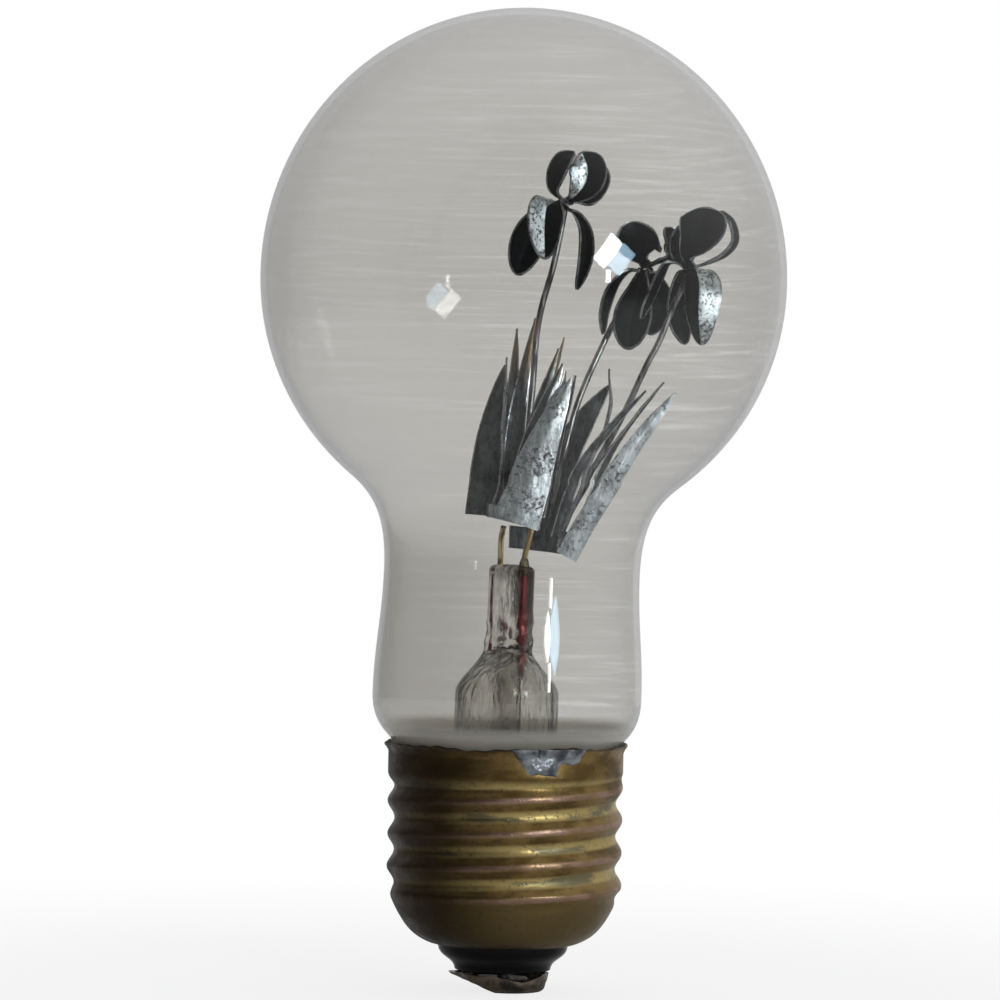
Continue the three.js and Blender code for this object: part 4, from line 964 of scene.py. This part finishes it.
add_flower(
    "right", (18.3, 0, 52.9),
    [(4.6, 1.6, 22.4), (7.3, 1.3, 28.4), (9.4, 0.6, 32.4), (11.8, 0.2, 37.3), (14, 0, 42.5),
     (15.4, 0, 45.4), (16.8, 0, 49.4)],
    [
        ([(-1.1, -0.4, 1), (-2.4, -0.5, 1), (-3.4, -0.6, -0.9), (-4.5, -0.6, -3.8), (-5.1, -0.6, -5.3)],
         (0.45, 0.9, 0), 2.2, 0.4),
        ([(-0.3, 1, 0.2), (-0.7, 1.4, -2.4), (-0.7, 1.5, -5), (0, 1.4, -7.8)], (1, 0.2, 0), 3, 0.4),
        ([(0.8, -1.2, -0.3), (1.5, -2.4, -1.7), (1.5, -2.9, -4.4), (1.6, -3, -7.9)],
         (0.93, -0.36, 0), 4.2, -0.75, 1.1),
    ],
    [
        ([(-0.7, -1.2, 1.2), (0.2, -2.2, 3.1), (1, -2.2, 5), (1.3, -1.5, 6.7)],
         (1, -0.3, -0.2), 5.4, -0.3, 1.9),
        ([(1.5, 0.3, 0.45), (3.5, 0.3, 1.4), (4.8, 0.2, 3.2), (4.3, 0, 5.2), (3, -0.3, 6.4)],
         (0.3, 0.95, 0.1), 2.8, -0.3),
        ([(-0.8, 1.2, 1), (-0.8, 2, 3), (0.4, 1.4, 5.4)], (1, 0.1, 0), 3.4, -0.3),
    ],
)


# Screw shell


def shoulder_line(count):
    return bezier([(EYELET_OPENING / 2, SHELL_FLOOR), (EYELET_OPENING / 2 + 3.1, SHELL_FLOOR + 0.4),
                   (SHELL_RADIUS - 1.15, SHOULDER_TOP - 2.8), (SHELL_RADIUS, SHOULDER_TOP)], count)


def roll_thread(points):
    """Rolls the thread into the turned blank, and roughens its rim and its skin."""
    x, y, z = points.T
    turn = np.arctan2(y, x)
    radius = np.hypot(x, y)
    wave = np.cos(2 * np.pi * (z - CREST_HEIGHT) / THREAD_PITCH - turn)
    run_out = 1 - smooth(z, THREAD_HEAD - 2, THREAD_HEAD)
    entry = smooth(z, THREAD_FOOT - 1, THREAD_FOOT + 1) * run_out
    shrink = entry * THREAD_DEPTH * (wave - 1) / 2
    dents = np.minimum(wander(np.stack([x, y, 1.6 * z], axis=1), 3.4, 2.0), 0) * 0.12
    near_rim = np.maximum((z - SHELL_HEIGHT + RIM_FLARE_LENGTH) / RIM_FLARE_LENGTH, 0)
    rag = np.sin(5 * turn + 1) + 0.7 * np.sin(11 * turn) - 1 + 0.5 * np.sin(37 * turn)
    scale = 1 + (shrink + dents) / radius
    return np.stack([x * scale, y * scale, z + near_rim * RIM_RAGGEDNESS * rag], axis=1)


def screw_shell():
    wall_head = SHELL_HEIGHT - RIM_FLARE_LENGTH
    wall = [(SHELL_RADIUS, height) for height in np.linspace(SHOULDER_TOP, wall_head, 120)[1:]]
    flare = [(SHELL_RADIUS + RIM_FLARE * share**1.5, wall_head + share * RIM_FLARE_LENGTH)
             for share in np.linspace(0, 1, 8)[1:]]
    outer = np.concatenate([shoulder_line(22), wall, flare])
    inner = inset_line(outer, SHELL_WALL)
    points, faces, slots = turned(np.concatenate([outer, inner[::-1]]), SHELL_SIDES, loop=True)
    return roll_thread(points), faces, slots


add_piece("shell", [screw_shell()], [brass], ["screw_shell"], 60)


# Insulator, centre contact and rim solder


def insulator_surface():
    seat = inset_line(shoulder_line(40), SHELL_WALL + GAP)[4:24]
    rise = SHELL_FLOOR - INSULATOR_FOOT
    foot = np.array((INSULATOR_FOOT_RADIUS, INSULATOR_FOOT + 0.15 * rise))
    neck = np.array((INSULATOR_NECK_RADIUS, INSULATOR_FOOT + 0.88 * rise))
    waist = bezier([foot, foot + (0.35, 0.9), neck - (0.2, 1.1), neck], 16)
    top = seat[-1]
    profile = [
        (INSULATOR_BORE, INSULATOR_FOOT), (INSULATOR_FOOT_RADIUS - 0.3, INSULATOR_FOOT),
        (INSULATOR_FOOT_RADIUS - 0.08, INSULATOR_FOOT + 0.1), *waist,
        (INSULATOR_NECK_RADIUS, SHELL_FLOOR + 0.2), (INSULATOR_NECK_RADIUS, SHELL_FLOOR + SHELL_WALL + GAP),
        *seat, (top[0] - 0.7, top[1] + 0.7), (INSULATOR_BORE + 1.2, SHELL_FLOOR + 1.5),
        (INSULATOR_BORE, SHELL_FLOOR + 1.1),
    ]
    return turned(profile, INSULATOR_SIDES, loop=True)


add_piece("insulator_body", [insulator_surface()], [insulator_glass], ["insulator"], 50)


# Outline of the solder in mm to the right of the axis, and height, seen from the front
SOLDER_OUTLINE = [
    (0.7, 28.2), (8.4, 28.2), (8.4, 27), (7.9, 26), (7.15, 25.7), (6.2, 26), (5.7, 25.5), (5.5, 24.5),
    (4.8, 24.6), (3.8, 24.75), (2.9, 24.6), (2.2, 25), (1.5, 26.2), (0.7, 27.2),
]
SOLDER_CRACK = 3.45
SOLDER_RISE = 0.5


def outline_depth(points, outline):
    """How deep each point of the plane lies inside the outline, negative outside it."""
    depth = np.full(len(points), np.inf)
    inside = np.zeros(len(points), bool)
    for start, end in zip(outline, np.roll(outline, -1, axis=0)):
        run = end - start
        share = np.clip((points - start) @ run / (run @ run), 0, 1)
        depth = np.minimum(depth, np.linalg.norm(points - start - share[:, None] * run, axis=1))
        crossing = (start[1] > points[:, 1]) != (end[1] > points[:, 1])
        reach = start[0] + (points[:, 1] - start[1]) * run[0] / (run[1] if run[1] else 1)
        inside ^= crossing & (points[:, 0] < reach)
    return np.where(inside, depth, -depth)


def solder_surface():
    """Solder that ran over the rim. Outside its outline its skin dips into the shell's wall."""
    rows, cols = 70, 150
    heights = np.linspace(24.2, 27.44, rows)
    height, across = np.meshgrid(heights, np.linspace(0.1, 8.9, cols), indexing="ij")
    flat = np.stack([across.ravel(), height.ravel()], axis=1)
    skin = np.pad(flat, ((0, 0), (0, 1)))
    ragged = flat + 0.16 * np.stack([wander(skin, 0.9, seed) for seed in (2.0, 5.0)], axis=1)
    depth = outline_depth(ragged, np.array(SOLDER_OUTLINE))
    lumps = 0.8 + 0.35 * wander(skin, 1.0, 8.0) + 0.12 * wander(skin, 0.4, 3.0)
    swell = np.sqrt(np.clip(depth / 0.9, 0, 1)) * lumps
    crack = 1 - smooth(np.abs(flat[:, 0] - SOLDER_CRACK + 0.15 * wander(skin, 0.6, 1.0)), 0.04, 0.13)
    swell = swell * (1 - 0.9 * crack * smooth(flat[:, 1], 26.4, 26.9))
    rise = np.where(depth > 0, SOLDER_RISE * swell, 0.4 * np.maximum(depth, -0.6))
    turn = np.arcsin(flat[:, 0] / SHELL_RADIUS) - math.pi / 2
    near_rim = np.clip((flat[:, 1] - SHELL_HEIGHT + RIM_FLARE_LENGTH) / RIM_FLARE_LENGTH, 0, 1)
    blank = np.stack([SHELL_RADIUS * np.cos(turn), SHELL_RADIUS * np.sin(turn), flat[:, 1]], axis=1)
    wall = np.hypot(*roll_thread(blank)[:, :2].T) + RIM_FLARE * near_rim**1.5
    skins = []
    for radius in (wall + rise, wall - SHELL_WALL - 0.05):
        places = np.stack([radius * np.cos(turn), radius * np.sin(turn), flat[:, 1]], axis=1)
        skins.append(places.reshape(rows, cols, 3))
    return stitched(*skins)


add_piece("rim_joint", [solder_surface()], [solder], ["rim_solder"])


# Centre contact: a pressed dish, torn to a spur on the left and worn down on the right

CONTACT_RIM = 5.1
CONTACT_FLAT = 3.5
CONTACT_FLAT_SHIFT = 0.8
CONTACT_SPUR = 0.85
CONTACT_WEAR_SLOPE = 0.3
CONTACT_DIMPLE = 2.7
CONTACT_EYELET = 0.9
CONTACT_WALL = 0.4
CONTACT_HEIGHT = 2
CONTACT_SIDES = 120


def bump_at(turn, centre, width):
    apart = np.abs((turn - centre + np.pi) % (2 * np.pi) - np.pi)
    return np.maximum(1 - apart / width, 0)


def contact_surface():
    profile = np.array([
        (CONTACT_EYELET, 1), (CONTACT_DIMPLE - 0.2, 1), (CONTACT_DIMPLE, 0), (CONTACT_FLAT, 0),
        (lerp(CONTACT_FLAT, CONTACT_RIM, 0.6), 0.45), (CONTACT_RIM - 0.15, 1.2),
        (CONTACT_RIM, CONTACT_HEIGHT),
        (CONTACT_RIM - CONTACT_WALL, CONTACT_HEIGHT), (CONTACT_RIM - CONTACT_WALL - 0.15, 1.35),
        (lerp(CONTACT_FLAT, CONTACT_RIM, 0.5), 0.45 + CONTACT_WALL), (CONTACT_FLAT - 0.1, CONTACT_WALL),
        (CONTACT_DIMPLE + CONTACT_WALL, CONTACT_WALL), (CONTACT_DIMPLE + 0.1, 1 + CONTACT_WALL),
        (CONTACT_EYELET, 1 + CONTACT_WALL),
    ])
    fine = []
    for start, end in zip(profile, np.roll(profile, -1, axis=0)):
        fine.extend(lerp(start, end, share) for share in np.linspace(0, 1, 6)[:-1])
    points, faces, slots = turned(fine, CONTACT_SIDES, loop=True)
    x, y, z = points.T
    radius = np.hypot(x, y)
    turn = np.arctan2(y, x)
    loose = smooth(radius, CONTACT_FLAT + 0.3, CONTACT_RIM)
    held = smooth(radius, CONTACT_DIMPLE, CONTACT_FLAT) * (1 - smooth(radius, CONTACT_FLAT, CONTACT_RIM))
    reach = 1 + loose * CONTACT_SPUR * bump_at(turn, np.pi, 0.4) / radius
    beaten = 1 - 0.35 * loose * bump_at(turn, -1.1, 0.6)
    points = np.stack([x * reach + CONTACT_FLAT_SHIFT * held, y * reach, z * beaten], axis=1)
    lift = CONTACT_WEAR_SLOPE * np.maximum(-points[:, 0] - CONTACT_FLAT_SHIFT, 0)
    points[:, 2] += lift * np.maximum(1 - points[:, 2] / CONTACT_HEIGHT, 0)
    ripple = np.stack([wander(points, 1.3, seed) for seed in (1.0, 4.0, 7.0)], axis=1)
    points += loose[:, None] * 0.14 * ripple
    points[:, 2] = np.maximum(points[:, 2], 0)
    return points, faces, slots


add_piece("contact", [contact_surface()], [contact_brass], ["centre_contact"], 50)


# Camera


def add_camera():
    across = (PHOTO_SIZE / 2 - AXIS_COLUMN) * PIXEL
    rise = (FOOT_ROW - PHOTO_SIZE / 2) * PIXEL
    aim = Vector((
        across * math.cos(CAMERA_ROLL) - rise * math.sin(CAMERA_ROLL), 0,
        across * math.sin(CAMERA_ROLL) + rise * math.cos(CAMERA_ROLL),
    ))
    data = bpy.data.cameras.new("camera")
    data.sensor_width = SENSOR_WIDTH
    data.lens = SENSOR_WIDTH * CAMERA_DISTANCE / (PHOTO_SIZE * PIXEL)
    data.clip_start = 0.01
    data.clip_end = 50
    camera = bpy.data.objects.new("camera", data)
    facing = Matrix.Rotation(math.pi / 2, 4, "X") @ Matrix.Rotation(CAMERA_ROLL, 4, "Z")
    camera.matrix_world = Matrix.Translation((aim - Vector((0, CAMERA_DISTANCE, 0))) * MM) @ facing
    bpy.context.scene.collection.objects.link(camera)
    bpy.context.scene.camera = camera


add_camera()


# Floor, world and lamps

FLOOR_REACH = 0.7
FLOOR_SIDES = 96
LAMP_DISTANCE = 1.0
LAMP_SPIN = -42
GLOBE_CENTRE = Vector((0, 0, 0.079))


def add_floor():
    """A round sheet of pale paper that fades into the white studio well away from the lamp."""
    turn = 2 * np.pi * np.arange(FLOOR_SIDES) / FLOOR_SIDES
    rim = FLOOR_REACH * np.stack([np.cos(turn), np.sin(turn), 0 * turn], axis=1)
    mesh = bpy.data.meshes.new("floor")
    mesh.from_pydata(rim.tolist(), [], [tuple(range(FLOOR_SIDES))])
    floor = bpy.data.objects.new("floor", mesh)
    bpy.context.scene.collection.objects.link(floor)
    paper = Finish("floor_paper", (0.86, 0.86, 0.86), 0.9)
    path = paper.node("LightPath").outputs
    seen = paper.math("MAXIMUM", path["Is Camera Ray"], path["Is Transmission Ray"])
    direct = paper.math("LESS_THAN", path["Glossy Depth"], 0.5)
    share = paper.ramp(paper.radius(), 0.03, 0.16, 0.8, 1.0)
    shown = paper.blend(paper.product(seen, direct, share), paper.shader, paper.node("Emission"))
    fade = paper.ramp(paper.radius(), 0.12, 0.66)
    paper.show(paper.blend(fade, shown, paper.node("BsdfTransparent")))
    mesh.materials.append(paper.material)


def add_world():
    """White behind the object, and a plain studio around it that is dimmer on the left and
    towards the viewer. Gloss sees the white only straight behind the object, and dimly."""
    world = bpy.data.worlds.new("studio")
    bpy.context.scene.world = world
    world.use_nodes = True
    world.node_tree.nodes.clear()
    sky = Nodes(world.node_tree, "Generated")
    sideways = sky.ramp(sky.axis("X"), -0.9, 0.8, 0.14, 0.5)
    upward = sky.ramp(sky.axis("Z"), 0.1, 1.0, 0.0, 0.5, shape="LINEAR")
    forward = sky.ramp(sky.axis("Y"), -1, -0.1, 0.25, 1.0)
    studio = sky.node("Background")
    sky.link((0.97, 0.98, 1), studio.inputs["Color"])
    sky.link(sky.product(sky.math("ADD", sideways, upward), forward), studio.inputs["Strength"])
    white = sky.node("Background")
    sky.link((1, 1, 1), white.inputs["Color"])
    path = sky.node("LightPath").outputs
    direct = sky.math("LESS_THAN", sky.math("ADD", path["Glossy Depth"], path["Diffuse Depth"]), 0.5)
    backdrop = sky.ramp(sky.axis("Y"), 0.55, 0.95, 0.0, 0.4)
    shown = sky.math("MAXIMUM", direct, sky.product(path["Is Glossy Ray"], backdrop))
    output = sky.node("OutputWorld")
    sky.link(sky.blend(shown, studio, white).outputs[0], output.inputs["Surface"])


def add_lamp(name, direction, width, height, power, spin=LAMP_SPIN, color=(0.97, 0.98, 1)):
    """A window pane that faces the globe. Its spin is in degrees."""
    data = bpy.data.lights.new(name, "AREA")
    data.shape = "RECTANGLE"
    data.size = width
    data.size_y = height
    data.energy = power
    data.color = color
    lamp = bpy.data.objects.new(name, data)
    toward = Vector(direction).normalized()
    facing = (-toward).to_track_quat("-Z", "Y").to_matrix().to_4x4()
    turn = facing @ Matrix.Rotation(math.radians(spin), 4, "Z")
    lamp.matrix_world = Matrix.Translation(GLOBE_CENTRE + toward * LAMP_DISTANCE) @ turn
    bpy.context.scene.collection.objects.link(lamp)


add_floor()
add_world()
add_lamp("key", (0.577, -0.801, 0.16), 0.11, 0.23, 2.2)
add_lamp("second_pane", (0.662, -0.742, 0.105), 0.12, 0.2, 0.75, color=(0.5, 0.78, 1))
add_lamp("low_pane", (0.584, -0.812, -0.012), 0.034, 0.098, 0.3, spin=0)

bpy.context.scene.view_settings.view_transform = "Standard"
